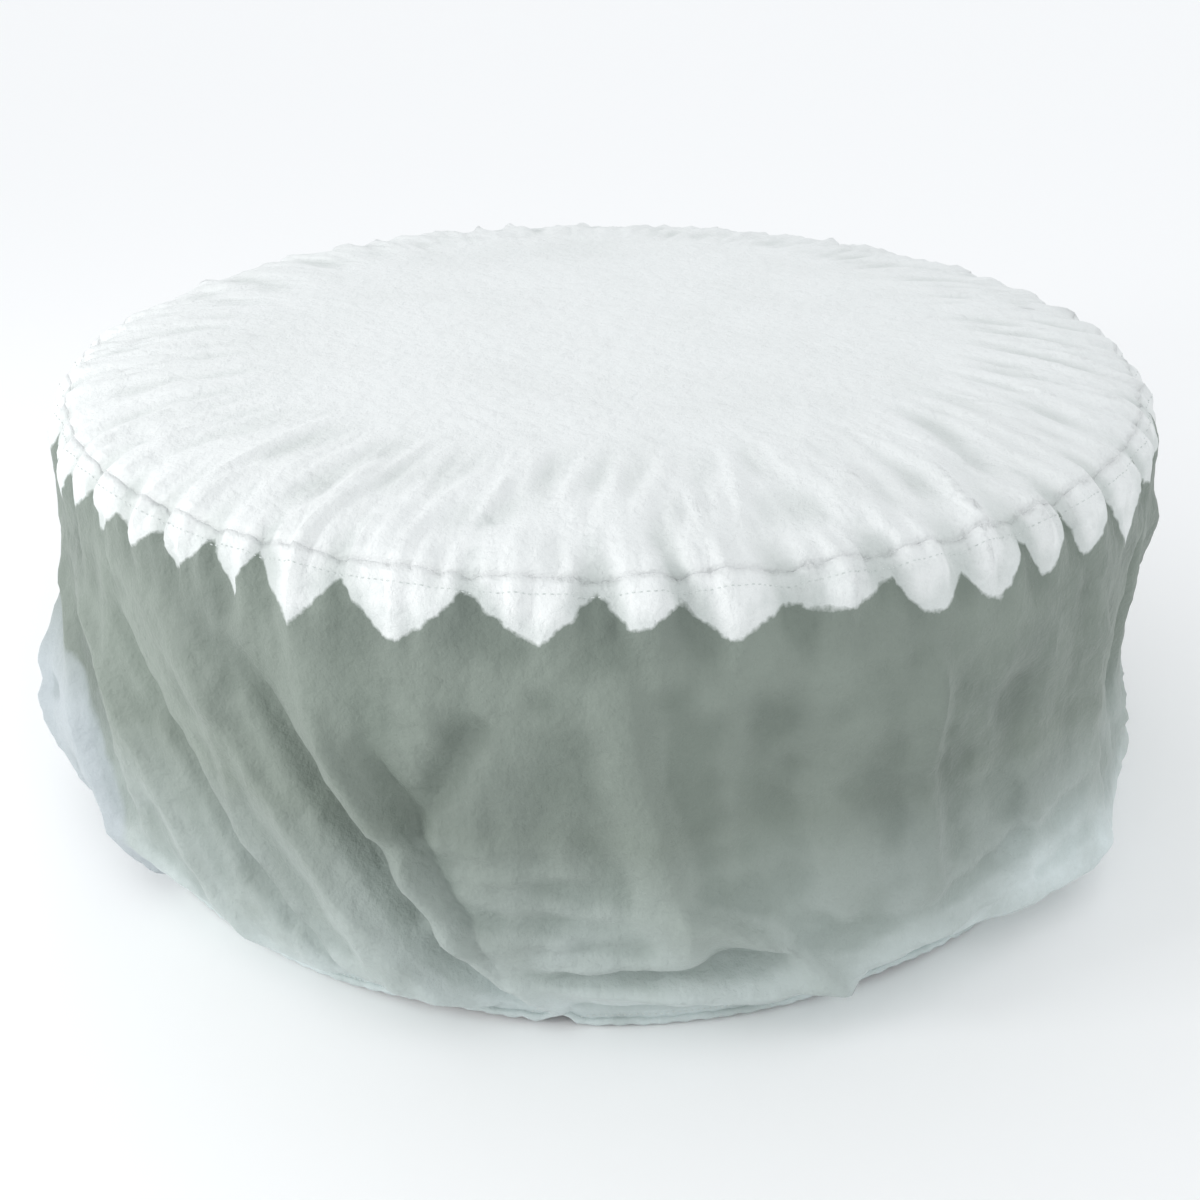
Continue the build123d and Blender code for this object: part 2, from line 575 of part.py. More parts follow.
# ---- cover --------------------------------------------------------------------------------
def build_cover():
    """Fabric cover: top, elastic tape behind the gathered seam, skirt, hem casing and hem cord."""
    top_under = offset_line(COVER_TOP_LINE[::-1], -COVER_SKIN)[::-1]
    top_under[0] = (0, COVER_Z - COVER_SKIN)
    edges = [Spline(*COVER_TOP_LINE), Line(COVER_TOP_LINE[-1], top_under[-1]),
             Spline(*top_under[::-1]), Line(top_under[0], COVER_TOP_LINE[0])]
    save("cover_top", turned(edges))
    rising = COVER_SKIRT_LINE[::-1]
    save("cover_skirt", skin(rising, -COVER_SKIN, 0))
    band = disc(COVER_HEM_R + 86, GATHER_LOW, GATHER_HIGH)
    save("gather_tape", skin(rising, -COVER_SKIN - 2, -COVER_SKIN - 0.05) & band)
    hem = Plane.XZ * Pos(COVER_HEM_R, COVER_HEM_Z)
    save("hem_casing", revolve(hem * (Circle(HEM_TUBE_R) - Circle(HEM_CORD_R + 0.1)), Axis.Z, 360))
    save("hem_elastic", revolve(hem * Circle(HEM_CORD_R), Axis.Z, 360))


os.makedirs("parts", exist_ok=True)
build_wall()
build_rim_and_floor()
build_webs()
build_welts()
build_fitting(*DRAIN, "drain_fitting", "drain_cap")
build_fitting(*VALVE, "air_valve_body", "air_valve_cap")
build_bubble_ring()
save("wall_patches", *build_straps(), *build_handles())
build_tray()
build_door()
build_door_fittings()
build_panel()
build_filter()
build_nozzle()
pump_bracket = build_pump()
build_heater()
build_water_hoses()
blower_cradle = build_blower()
save("equipment_brackets", pump_bracket, blower_cradle)
build_air_hose()
build_lid_sheet()
build_pad()
build_zip()
build_cover()
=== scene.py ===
"""Round inflatable hot tub in its fabric cover: everything that the CAD frame leaves to the looks."""
import json
import math

import bmesh
import bpy
import numpy as np
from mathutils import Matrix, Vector


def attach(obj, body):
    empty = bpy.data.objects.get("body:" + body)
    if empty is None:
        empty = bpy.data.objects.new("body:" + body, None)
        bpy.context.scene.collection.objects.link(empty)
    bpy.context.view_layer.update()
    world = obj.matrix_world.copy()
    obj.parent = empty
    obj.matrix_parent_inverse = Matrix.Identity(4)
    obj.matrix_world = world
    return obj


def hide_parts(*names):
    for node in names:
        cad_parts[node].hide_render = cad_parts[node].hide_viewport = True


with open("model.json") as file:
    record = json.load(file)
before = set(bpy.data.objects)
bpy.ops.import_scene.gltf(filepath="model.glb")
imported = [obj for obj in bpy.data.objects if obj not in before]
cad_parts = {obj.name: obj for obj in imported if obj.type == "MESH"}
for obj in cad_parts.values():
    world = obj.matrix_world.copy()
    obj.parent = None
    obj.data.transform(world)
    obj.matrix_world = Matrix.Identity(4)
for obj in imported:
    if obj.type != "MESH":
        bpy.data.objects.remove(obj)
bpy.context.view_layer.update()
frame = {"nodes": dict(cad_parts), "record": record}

# ---- camera ---------------------------------------------------------------------------------
# The camera stands in front of the tub at head height and looks down on it.
LENS_MM = 38.0
STAND_BACK = 2.147
EYE_HEIGHT = 1.356
LOOK_DOWN = math.radians(28.8)

eye = bpy.data.cameras.new("front_camera")
eye.lens = LENS_MM
eye.sensor_width = 36.0
eye_stand = bpy.data.objects.new("front_camera", eye)
eye_stand.location = (-0.006, -STAND_BACK, EYE_HEIGHT)
eye_stand.rotation_euler = (math.pi / 2 - LOOK_DOWN, 0.0, 0.0)
bpy.context.scene.collection.objects.link(eye_stand)
bpy.context.scene.camera = eye_stand
bpy.context.scene.view_settings.view_transform = "Standard"

# ---- studio ---------------------------------------------------------------------------------
# A wide pale floor, an even bright room and a low soft lamp on the left.
room = bpy.data.worlds.new("studio_room")
room.use_nodes = True
room.node_tree.nodes["Background"].inputs["Color"].default_value = (0.96, 0.98, 1.0, 1.0)
room.node_tree.nodes["Background"].inputs["Strength"].default_value = 1.0
bpy.context.scene.world = room


def soft_lamp(name, place, aim, size, power):
    """A square soft box that faces a point."""
    lamp = bpy.data.lights.new(name, "AREA")
    lamp.size = size
    lamp.energy = power
    holder = bpy.data.objects.new(name, lamp)
    holder.location = place
    holder.rotation_euler = (Vector(aim) - Vector(place)).to_track_quat("-Z", "Y").to_euler()
    bpy.context.scene.collection.objects.link(holder)


soft_lamp("key_lamp", (-3.4, -1.7, 1.5), (0.0, 0.0, 0.35), 0.9, 46.0)

floor_mesh = bpy.data.meshes.new("studio_floor")
floor_mesh.from_pydata([(-60, -60, 0), (60, -60, 0), (60, 60, 0), (-60, 60, 0)], [], [(0, 1, 2, 3)])
studio_floor = bpy.data.objects.new("studio_floor", floor_mesh)
bpy.context.scene.collection.objects.link(studio_floor)
floor_look = bpy.data.materials.new("studio_floor")
floor_look.use_nodes = True
floor_shader = floor_look.node_tree.nodes["Principled BSDF"]
floor_shader.inputs["Base Color"].default_value = (0.96, 0.96, 0.96, 1.0)
floor_shader.inputs["Roughness"].default_value = 0.9
floor_mesh.materials.append(floor_look)

# ---- fabric cover ---------------------------------------------------------------------------
# The cover is sewn from a round top and a long skirt of coated polyester. An elastic tape inside
# the seam under the rim gathers the cloth into puckers, and a cord in the hem draws the foot in.
SEAM_Z = 0.685                   # where the top is sewn to the skirt
AROUND = 600                     # cloth columns round the tub
TOP_ROWS, SKIRT_ROWS = 54, 80


def smooth_through(points, count):
    """Points along a smooth line through a few given ones, evenly spaced along it."""
    given = np.array([points[0]] + list(points) + [points[-1]], float)
    fine = []
    for a, b, c, d in zip(given, given[1:], given[2:], given[3:]):
        t = np.linspace(0, 1, 40, endpoint=False)[:, None]
        fine.append(0.5 * ((2 * b) + (c - a) * t + (2 * a - 5 * b + 4 * c - d) * t ** 2
                           + (3 * b - a - 3 * c + d) * t ** 3))
    fine = np.vstack(fine + [given[-1:]])
    length = np.concatenate([[0], np.cumsum(np.hypot(*np.diff(fine, axis=0).T))])
    even = np.linspace(0, length[-1], count)
    return np.stack([np.interp(even, length, fine[:, i]) for i in (0, 1)], 1)


def cloth_noise(around, along, cells, step, seed):
    """Smooth noise on the cloth, from 0 to 1, which closes on itself round the tub."""
    table = np.random.default_rng(seed).random((cells, 64))
    u = np.mod(around / (2 * np.pi), 1.0) * cells
    v = np.mod(along / step, 64.0)
    i, j = np.floor(u).astype(int), np.floor(v).astype(int)
    a, b = u - i, v - j
    a, b = a * a * (3 - 2 * a), b * b * (3 - 2 * b)
    i0, i1, j0, j1 = i % cells, (i + 1) % cells, j % 64, (j + 1) % 64
    low = table[i0, j0] * (1 - a) + table[i1, j0] * a
    high = table[i0, j1] * (1 - a) + table[i1, j1] * a
    return low * (1 - b) + high * b


def ridges(around, along, cells, step, seed):
    """Sharp creases between soft hollows, from 0 to 1."""
    return 1 - np.abs(2 * cloth_noise(around, along, cells, step, seed) - 1)


def near(value, centre, width):
    """A soft hump round a value."""
    return np.exp(-((value - centre) / width) ** 2)


def angle_from(around, degrees):
    """Signed distance round the tub from a direction, in degrees."""
    return (np.degrees(around) - degrees + 180) % 360 - 180


# The white cloth ends in a ragged row of tongues, one on each puff between two gathers. The front ones
# are listed as direction, height of the tip and roundness; the rest are evenly random.
# The tongues are the lit upper faces of the puffs: below their line the cloth is painted shade.
front_tongues = [(215, .600, .8), (221, .606, .8), (227, .612, .7), (233, .615, .9), (240, .612, .7),
                 (246, .608, 1.0), (254, .602, 1.2), (265, .614, 1.1), (272, .634, 1.2), (279, .618, 1.0),
                 (287, .640, 1.8), (296, .612, 2.2), (302, .604, 1.6), (308, .604, 1.2), (314, .598, 1.0),
                 (323, .560, 1.0)]
chance = np.random.default_rng(4)
tongues = list(front_tongues)
while tongues[-1][0] < 215 + 360 - 9:
    turn = tongues[-1][0] + chance.uniform(5.0, 8.5)
    tongues.append((turn, chance.uniform(.585, .635), chance.uniform(.8, 1.9)))
tip_turns, tip_heights, tip_round = (np.array(column, float) for column in zip(*tongues))
pinch_turns = (np.append(tip_turns[-1] - 360, tip_turns[:-1]) + tip_turns) / 2
pinch_turns += chance.uniform(-1.2, 1.2, len(tongues))
pinch_heights = chance.uniform(.648, .672, len(tongues))
puff_sizes = chance.uniform(0.45, 1.15, len(tongues))
closed_turns = np.append(pinch_turns, pinch_turns[0] + 360)


def puff_place(around, height=None):
    """Which puff a point of the cloth is on, and how far across it, leaning over as it rises."""
    turn = np.degrees(around) + (0 if height is None else 30 * (height - SEAM_Z))
    turn = (turn - pinch_turns[0]) % 360 + pinch_turns[0]
    place = np.interp(turn, closed_turns, np.arange(len(closed_turns)))
    index = np.minimum(np.floor(place).astype(int), len(tongues) - 1)
    return index, place - index


def tongue_edge(around):
    """Height in each direction of the line between the white cloth above and the painted shade of the
    skirt below.
    """
    index, part = puff_place(around)
    width = closed_turns[index + 1] - closed_turns[index]
    tip = ((tip_turns[index] - pinch_turns[index]) % 360) / width
    share = np.where(part < tip, 1 - part / tip, (part - tip) / (1 - tip))
    start, end = pinch_heights[index], np.append(pinch_heights, pinch_heights[0])[index + 1]
    top = np.where(part < tip, start, end)
    return tip_heights[index] + (top - tip_heights[index]) * np.maximum(share, 1e-6) ** tip_round[index]


rim_line = smooth_through([(0.0, .7310), (.30, .7310), (.50, .7305), (.60, .7290), (.655, .7260),
                           (.72, .7200), (.79, .7088), (.84, .6990), (.874, SEAM_Z)], TOP_ROWS)
side_line = smooth_through([(.874, SEAM_Z), (.897, .664), (.910, .630), (.919, .585), (.924, .525),
                            (.925, .42), (.928, .33), (.937, .24), (.945, .17), (.932, .09),
                            (.874, .006)], SKIRT_ROWS + 1)
cover_line = np.vstack([rim_line, side_line[1:]])
rows = len(cover_line)
turn_grid, row_grid = np.meshgrid(np.linspace(0, 2 * np.pi, AROUND, endpoint=False), np.arange(rows))
base_r, base_z = cover_line[row_grid, 0], cover_line[row_grid, 1]
slope = np.gradient(cover_line, axis=0)
slope /= np.hypot(slope[:, 0], slope[:, 1])[:, None]
out_r, out_z = -slope[row_grid, 1], slope[row_grid, 0]
run = np.concatenate([[0], np.cumsum(np.hypot(*np.diff(cover_line, axis=0).T))])[row_grid]
seam_run = run[TOP_ROWS - 1, 0]

# long folds in the skirt: direction and height of both ends, width, depth and bow
front_folds = [
    ((232, .600), (262, .030), .050, .016, 0.6), ((240, .575), (266, .020), .022, -.020, 0.4),
    ((246, .560), (267, .030), .030, .014, 0.5), ((251, .500), (264, .080), .018, -.012, 0.3),
    ((262, .540), (254, .330), .030, -.014, 0.0), ((271, .610), (277, .200), .040, .018, 0.2),
    ((276, .260), (291, .090), .030, .016, -0.3), ((283, .560), (286, .250), .070, -.007, 0.0),
    ((296, .570), (298, .240), .030, .012, 0.0), ((306, .520), (309, .200), .070, -.009, 0.1),
    ((214, .560), (236, .120), .045, .014, 0.5), ((205, .560), (222, .060), .040, .012, 0.5),
    ((222, .540), (246, .120), .025, -.012, 0.5), ((318, .560), (322, .150), .045, .012, 0.1),
    ((330, .560), (331, .300), .035, -.016, 0.0),
]
back_folds = []
for start in np.arange(338, 338 + 222, 9.0):
    top, foot = chance.uniform(.52, .60), chance.uniform(.03, .16)
    lean = chance.uniform(4, 24)
    depth = chance.choice([-1, 1]) * chance.uniform(.009, .018)
    width, bow = chance.uniform(.022, .05), chance.uniform(0, .6)
    back_folds.append(((start, top), (start + lean, foot), width, depth, bow))


FOLD_DEPTH, CREASE_DEPTH = 1.7, 1.4       # shares that deepen every fold and crease


def fold_push(around, height, fold):
    """How far one long fold pushes the cloth out: soft on its left, sharper on its right."""
    (t0, z0), (t1, z1), width, depth, bow = fold
    part = np.clip((z0 - height) / (z0 - z1), -0.4, 1.4)
    centre = t0 + (t1 - t0) * (part + bow * part * (part - 1) * 0.5)
    off = np.radians(angle_from(around, centre)) * 0.94
    soft, sharp = near(off, 0, 1.5 * width), np.exp(-np.abs(off / (0.6 * width)) ** 1.15)
    fade = np.clip(part / 0.18, 0, 1) * np.clip((1.25 - part) / 0.25, 0, 1)
    return FOLD_DEPTH * depth * np.where(off < 0, soft, sharp) * fade


def cross_push(around, height, middle, span, lift, depth):
    """A short crease that runs across the cloth."""
    (turn, z), (reach, rise) = middle, span
    off = angle_from(around, turn)
    line = z + rise * off / reach
    drop = height - line
    soft, sharp = near(drop, 0, 1.6 * lift), np.exp(-np.abs(drop / (0.7 * lift)) ** 1.2)
    return CREASE_DEPTH * depth * np.where(drop > 0, soft, sharp) * near(off, 0, reach)


puff_index, puff_part = puff_place(turn_grid, base_z)
crown = 1 - np.abs(2 * puff_part - 1) ** 1.6
gather = near(run, seam_run, np.where(run < seam_run, 0.060, 0.085))
push = (crown - 0.62) * 0.019 * puff_sizes[puff_index] * gather
_, fine_part = puff_place(turn_grid * 3 + 0.4, base_z)
push += (1 - np.abs(2 * fine_part - 1) - 0.5) * 0.008 * near(run, seam_run, 0.060)
push -= 0.0020 * cloth_noise(turn_grid, run, 90, 1, 41) * near(run, seam_run + 0.004, 0.006)

shoulder = np.clip((base_r - 0.58) / 0.16, 0, 1) * np.clip((base_z - 0.56) / 0.10, 0, 1)
push += shoulder * 0.0120 * (ridges(turn_grid + 0.35 * run, run, 84, 0.22, 11) - 0.5)
push += shoulder * 0.0080 * (ridges(turn_grid + 0.2 * run, run, 170, 0.13, 12) - 0.5)
push += shoulder * 0.0034 * (ridges(turn_grid, run, 330, 0.06, 14) - 0.5)
flat_top = np.clip((base_r - 0.05) / 0.5, 0, 1) * (1 - shoulder) * (base_z > 0.7)
push += 0.0025 * flat_top * (cloth_noise(turn_grid, run, 18, 0.16, 13) - 0.5)

skirt = np.clip((0.635 - base_z) / 0.06, 0, 1)
for fold in front_folds + back_folds:
    push += skirt * fold_push(turn_grid, base_z, fold)
lean = turn_grid + 0.9 * (base_z - 0.4)
push += skirt * 0.014 * (cloth_noise(lean, run, 22, 0.30, 21) - 0.5)
push += skirt * 0.007 * (ridges(lean, run, 46, 0.17, 22) - 0.5)
push += skirt * 0.0060 * (ridges(turn_grid, run, 110, 0.06, 23) - 0.5)
push += skirt * 0.0032 * (ridges(turn_grid, run, 240, 0.030, 24) - 0.5)

# drag creases over the foot, where the hem pulls: middle, reach and rise, width and depth
foot_creases = [
    ((260, .335), (5, .006), .010, .007), ((272, .140), (7, .004), .009, -.012),
    ((285, .105), (9, .016), .010, .012), ((257, .200), (5, -.008), .010, .008),
    ((306, .215), (13, .030), .014, .008), ((263, .300), (6, .010), .013, .008),
    ((266, .250), (8, -.012), .012, .010), ((265, .200), (7, .008), .012, .010),
    ((269, .165), (8, -.010), .011, .012), ((281, .150), (8, .014), .016, -.020),
    ((276, .110), (9, -.006), .014, .012), ((300, .130), (16, .030), .020, .014),
    ((250, .110), (10, -.010), .014, .008),
]
for crease in foot_creases:
    push += skirt * cross_push(turn_grid, base_z, *crease)
for _ in range(26):
    middle = (chance.uniform(-30, 225), chance.uniform(.07, .30))
    span, lift = (chance.uniform(4, 10), chance.uniform(-.02, .02)), chance.uniform(.010, .018)
    depth = chance.choice([-1, 1]) * chance.uniform(.006, .013)
    push += skirt * cross_push(turn_grid, base_z, middle, span, lift, depth)

# the loose foot stands off the wall on the left and, less, on the right
flares = [(203, 13, .24, .12, .070), (318, 13, .085, .055, .052), (338, 12, .33, .10, -.016),
          (280, 6, .01, .05, .016), (258, 15, .00, .08, -.020), (297, 10, .01, .06, -.024),
          (185, 20, .51, .09, -.014), (120, 22, .15, .10, .010)]
flare = sum(size * near(angle_from(turn_grid, turn), 0, width) * near(base_z, height, tall)
            for turn, width, height, tall, size in flares)

cover_r = base_r + out_r * push + flare
cover_z = np.maximum(base_z + out_z * push, 0.0025)
cloth = np.stack([cover_r * np.cos(turn_grid), cover_r * np.sin(turn_grid), cover_z], 2)


def lathe_mesh(name, line, count):
    """A plain turned surface through (radius, height) points."""
    turns = np.linspace(0, 2 * np.pi, count, endpoint=False)
    ring = [[(r * math.cos(t), r * math.sin(t), z) for t in turns] for r, z in line]
    index = np.arange(len(line) * count).reshape(len(line), count)
    right = np.roll(index, -1, axis=1)
    quads = np.stack([index[:-1], index[1:], right[1:], right[:-1]], 2).reshape(-1, 4)
    mesh = bpy.data.meshes.new(name)
    mesh.from_pydata([v for row in ring for v in row], [], quads.tolist())
    made = bpy.data.objects.new(name, mesh)
    bpy.context.scene.collection.objects.link(made)
    return made


def settle(points, hold, grow, frames, most):
    """Let the cloth buckle: it is a little too large for the line that it is held to."""
    count_rows, count = points.shape[:2]
    sheet = lathe_mesh("settling_cloth", [(1.0, 0.0)] * count_rows, count)
    sheet.data.vertices.foreach_set("co", points.ravel())
    group = sheet.vertex_groups.new(name="held")
    for level in np.unique(hold):
        group.add(np.flatnonzero(hold.ravel() == level).tolist(), float(level), "REPLACE")
    body = lathe_mesh("inner_form", [(0.01, .722), (.60, .714), (.74, .706), (.80, .7035), (.85, .690),
                                     (.88, .665), (.889, .64), (.889, .1), (.87, .0)], 120)
    body.modifiers.new("stop", "COLLISION")
    body.collision.thickness_outer = 0.004
    body.collision.cloth_friction = 8.0
    cloth_step = sheet.modifiers.new("settle", "CLOTH")
    setting = cloth_step.settings
    setting.quality = 6
    setting.mass = 0.25
    setting.tension_stiffness = setting.compression_stiffness = 20.0
    setting.shear_stiffness = 8.0
    setting.bending_stiffness = 0.06
    setting.air_damping = 2.0
    setting.shrink_min = -grow
    setting.vertex_group_mass = "held"
    setting.pin_stiffness = 0.6
    cloth_step.collision_settings.distance_min = 0.004
    cloth_step.point_cache.frame_start, cloth_step.point_cache.frame_end = 1, frames
    for step in range(1, frames + 1):
        bpy.context.scene.frame_set(step)
    done = sheet.evaluated_get(bpy.context.evaluated_depsgraph_get()).data
    moved = np.empty(len(done.vertices) * 3)
    done.vertices.foreach_get("co", moved)
    shift = moved.reshape(points.shape) - points
    far = np.linalg.norm(shift, axis=2, keepdims=True)
    shift *= np.minimum(1.0, most / np.maximum(far, 1e-9))
    bpy.data.objects.remove(sheet)
    bpy.data.objects.remove(body)
    bpy.context.scene.frame_set(1)
    return shift


def finer(table, count_rows, count):
    """A table on the coarse cloth read at every point of the fine one."""
    down = np.linspace(0, table.shape[0] - 1, count_rows)
    low = np.minimum(down.astype(int), table.shape[0] - 2)
    part = (down - low)[:, None, None]
    tall = table[low] * (1 - part) + table[low + 1] * part
    closed = np.concatenate([tall, tall[:, :1]], 1)
    across = np.linspace(0, table.shape[1], count, endpoint=False)
    left = across.astype(int)
    part = (across - left)[None, :, None]
    return closed[:, left] * (1 - part) + closed[:, left + 1] * part


pick = np.linspace(0, rows - 1, 90).round().astype(int)
coarse = cloth[pick][:, ::2]
coarse_r, coarse_z = base_r[pick][:, ::2], base_z[pick][:, ::2]
hold = np.round(np.clip((0.80 - coarse_r) / 0.20, 0.02, 1), 2)
hold = np.where(coarse_z < .66, 0.02, hold)
hold = np.where(np.abs(run[pick][:, ::2] - seam_run) < .008, 0.35, hold)
hold = np.where(coarse_z < .05, 0.5, hold)
share = np.where(run < seam_run, 0.25, 0.25 + 0.65 * np.clip((run - seam_run) / 0.08, 0, 1))
share *= 1 - 0.75 * near(angle_from(turn_grid, 292), 0, 26)
cloth = cloth + finer(settle(coarse, hold, 0.045, 22, 0.020), rows, AROUND) * share[..., None]

# the cloth rests on the lid and clears everything that stands off the wall
cover_r, cover_z = np.hypot(cloth[..., 0], cloth[..., 1]), np.maximum(cloth[..., 2], 0.0025)
ARCH_R, ARCH_Z = .794, .640      # the middle line of the rim's round section
over = np.hypot((cover_r - ARCH_R) / .0952, np.maximum(cover_z - ARCH_Z, 0) / .0642)
lift = np.where((cover_r > ARCH_R) & (cover_z > ARCH_Z), np.maximum(1.040 / np.maximum(over, .3), 1), 1)
cover_r = ARCH_R + (cover_r - ARCH_R) * lift
cover_z = ARCH_Z + (cover_z - ARCH_Z) * lift
lid_height = np.interp(cover_r, [0, .35, .62, .74, ARCH_R], [.722, .720, .714, .708, .7042])
cover_z = np.where(cover_r <= ARCH_R, np.maximum(cover_z, lid_height + .0028), cover_z)
clear = np.interp(cover_z, [.022, .035, .58, ARCH_Z], [.8985, .9055, .9055, .895])
door_side = np.clip((24 - np.abs(angle_from(turn_grid, 90))) / 5, 0, 1)
clear += .010 * door_side * np.clip((.56 - cover_z) / .04, 0, 1)
cover_r = np.where((cover_z < ARCH_Z) & (base_z < .66), np.maximum(cover_r, clear), cover_r)
foot_rise = (.014 * near(angle_from(turn_grid, 257), 0, 10)
             + .013 * near(angle_from(turn_grid, 297), 0, 9))
cover_z = cover_z + foot_rise * np.clip(1 - base_z / .10, 0, 1)
cloth = np.stack([cover_r * np.cos(turn_grid), cover_r * np.sin(turn_grid), cover_z], 2)
edge_gap = cover_z - tongue_edge(turn_grid)


def softened(table, times):
    """The table with its detail averaged away along the cloth."""
    for _ in range(times):
        padded = np.vstack([table[:1], table, table[-1:]])
        table = (padded[:-2] + padded[2:] + np.roll(table, 1, 1) + np.roll(table, -1, 1)) / 4
    return table


# how deep each point lies in a crease, for the painted shade in the creases
swell = (np.hypot(cloth[..., 0], cloth[..., 1]) - base_r) * out_r + (cloth[..., 2] - base_z) * out_z
crease_shade = np.clip((softened(swell, 30) - softened(swell, 2)) / 0.0035, 0, 1)


# where the cloth is painted paler: painted light on the lower skirt and the hem, and the loose foot on
# the left that the light shines through
turn_degrees = np.degrees(turn_grid)
line_turn = np.interp(base_z, [0.0, .075, .20, .35, .42], [225, 224, 220, 214, 202])
pale = np.clip((line_turn - turn_degrees) / 1.2, 0, 1) * np.clip((turn_degrees - 158) / 22, 0, 1)
pale *= np.clip((.44 - base_z + .06 * (cloth_noise(turn_grid, run, 20, .2, 32) - .5)) / .16, 0, 1)
hem_top = (.12 + .12 * near(angle_from(turn_grid, 312), 0, 20)
           + .05 * near(angle_from(turn_grid, 232), 0, 16))
hem_top += .05 * (cloth_noise(turn_grid, run, 18, .3, 31) - .5)
hem_lit = 0.48 * np.clip((.36 - base_z) / .20, 0, 1)
hem_lit += 0.60 * np.clip((hem_top - base_z) / .09, 0, 1) ** 1.3


def grid_piece(name, points, values, pole=None):
    """A closed-round cloth mesh from rows of points, the first row at the top, facing outwards."""
    count_rows, count = points.shape[:2]
    index = np.arange(count_rows * count).reshape(count_rows, count)
    right = np.roll(index, -1, axis=1)
    quads = np.stack([index[:-1], index[1:], right[1:], right[:-1]], 2).reshape(-1, 4)
    verts = points.reshape(-1, 3)
    faces = quads.tolist()
    if pole is not None:
        verts = np.vstack([verts, [pole]])
        faces += [(len(verts) - 1, int(a), int(b)) for a, b in zip(index[0], right[0])]
    mesh = bpy.data.meshes.new(name)
    mesh.from_pydata(verts.tolist(), [], faces)
    for key, table in values.items():
        flat = np.asarray(table, float).ravel()
        if pole is not None:
            flat = np.append(flat, flat[:count].mean())
        mesh.attributes.new(key, "FLOAT", "POINT").data.foreach_set("value", flat)
    mesh.polygons.foreach_set("use_smooth", [True] * len(mesh.polygons))
    piece = bpy.data.objects.new(name, mesh)
    bpy.context.scene.collection.objects.link(piece)
    return piece


def look(name, colour, roughness, finish=None):
    """A new material with a surface shader, ready for its nodes."""
    made = bpy.data.materials.new(name)
    made.use_nodes = True
    shader = made.node_tree.nodes["Principled BSDF"]
    shader.inputs["Base Color"].default_value = (*colour, 1.0)
    shader.inputs["Roughness"].default_value = roughness
    for key, value in (finish or {}).items():
        shader.inputs[key].default_value = value
    return made


def node(made, kind, values=None, **settings):
    """One shader node with its settings and unlinked values."""
    new = made.node_tree.nodes.new(kind)
    for key, value in settings.items():
        setattr(new, key, value)
    for key, value in (values or {}).items():
        new.inputs[key].default_value = value
    return new


def link(made, *pairs):
    """Join sockets in order: from, to, from, to."""
    for start, end in zip(pairs[::2], pairs[1::2]):
        made.node_tree.links.new(start, end)


def noise(made, scale, detail=4.0, rough=0.55, stretch=(1, 1, 1)):
    """Noise on the object's own coordinates, with its scale in patches to a metre."""
    where = node(made, "ShaderNodeTexCoord")
    bend = node(made, "ShaderNodeMapping", {"Scale": stretch})
    grain = node(made, "ShaderNodeTexNoise", {"Scale": scale, "Detail": detail, "Roughness": rough})
    link(made, where.outputs["Object"], bend.inputs["Vector"])
    link(made, bend.outputs["Vector"], grain.inputs["Vector"])
    return grain.outputs["Fac"]


def steps(made, source, stops):
    """A colour ramp over a value."""
    ramp = node(made, "ShaderNodeValToRGB")
    marks = ramp.color_ramp.elements
    while len(marks) < len(stops):
        marks.new(0.5)
    for mark, (place, colour) in zip(marks, stops):
        mark.position = place
        mark.color = (*colour, 1.0)
    link(made, source, ramp.inputs["Fac"])
    return ramp.outputs["Color"]


def blend_colours(made, share, low, high, kind="MIX"):
    """One colour over another by a share."""
    mix = node(made, "ShaderNodeMix", data_type="RGBA", blend_type=kind)
    sockets = [s for s in mix.inputs if s.enabled]
    for socket, value in zip(sockets, (share, low, high)):
        if hasattr(value, "is_output"):
            link(made, value, socket)
        else:
            socket.default_value = value
    return [s for s in mix.outputs if s.enabled][0]


def sum_of(made, first, second, kind="ADD"):
    """Arithmetic on two values, each a socket or a number."""
    maths = node(made, "ShaderNodeMath", operation=kind)
    for socket, value in zip(maths.inputs, (first, second)):
        if hasattr(value, "is_output"):
            link(made, value, socket)
        else:
            socket.default_value = value
    return maths.outputs[0]


def ramped(made, source, low, high, to_low=0.0, to_high=1.0):
    """A value mapped from one range to another and held at its ends."""
    held = node(made, "ShaderNodeMapRange", {"From Min": low, "From Max": high,
                                             "To Min": to_low, "To Max": to_high})
    link(made, source, held.inputs["Value"])
    return held.outputs["Result"]


def raise_surface(made, heights, depth):
    """Bump from a value, with its depth in metres."""
    bump = node(made, "ShaderNodeBump", {"Strength": 1.0, "Distance": depth})
    link(made, heights, bump.inputs["Height"], bump.outputs["Normal"],
         made.node_tree.nodes["Principled BSDF"].inputs["Normal"])


def tint(made, grain, low, high):
    """Mottle the surface between two colours."""
    tone = steps(made, grain, [(0.3, low), (0.7, high)])
    link(made, tone, made.node_tree.nodes["Principled BSDF"].inputs["Base Color"])


def gloss(made, grain, low, high):
    """Uneven roughness between two values."""
    link(made, ramped(made, grain, 0.3, 0.7, low, high),
         made.node_tree.nodes["Principled BSDF"].inputs["Roughness"])


# Cover cloth: a fine plain weave with a coating. The top is white; the skirt is painted grey-green as
# painted shade on the side of the cover, and painted light makes it paler and bluer towards the hem. Long
# use has left it mottled, and the pinches are darkened with painted shade.
WHITE_CLOTH, WARM_WHITE = (0.815, 0.836, 0.829), (0.785, 0.806, 0.797)
# painted shade: a grey for the white cloth just above the tongue line
SHADED_EDGE_WHITE = (0.60, 0.64, 0.625)
# painted shade: three grey-greens for the skirt, the white cloth as it looks in shade
SHADE_SAGE_LIGHT, SHADE_SAGE_MID, SHADE_SAGE_DARK = (0.262, 0.306, 0.266), (0.212, 0.249, 0.216), (0.166, 0.198, 0.173)
# painted light: the pale blue-grey that makes the lower skirt and the hem paler and bluer
HEM_LIT_PALE = (0.66, 0.735, 0.735)
LOOSE_PALE = (0.42, 0.465, 0.485)

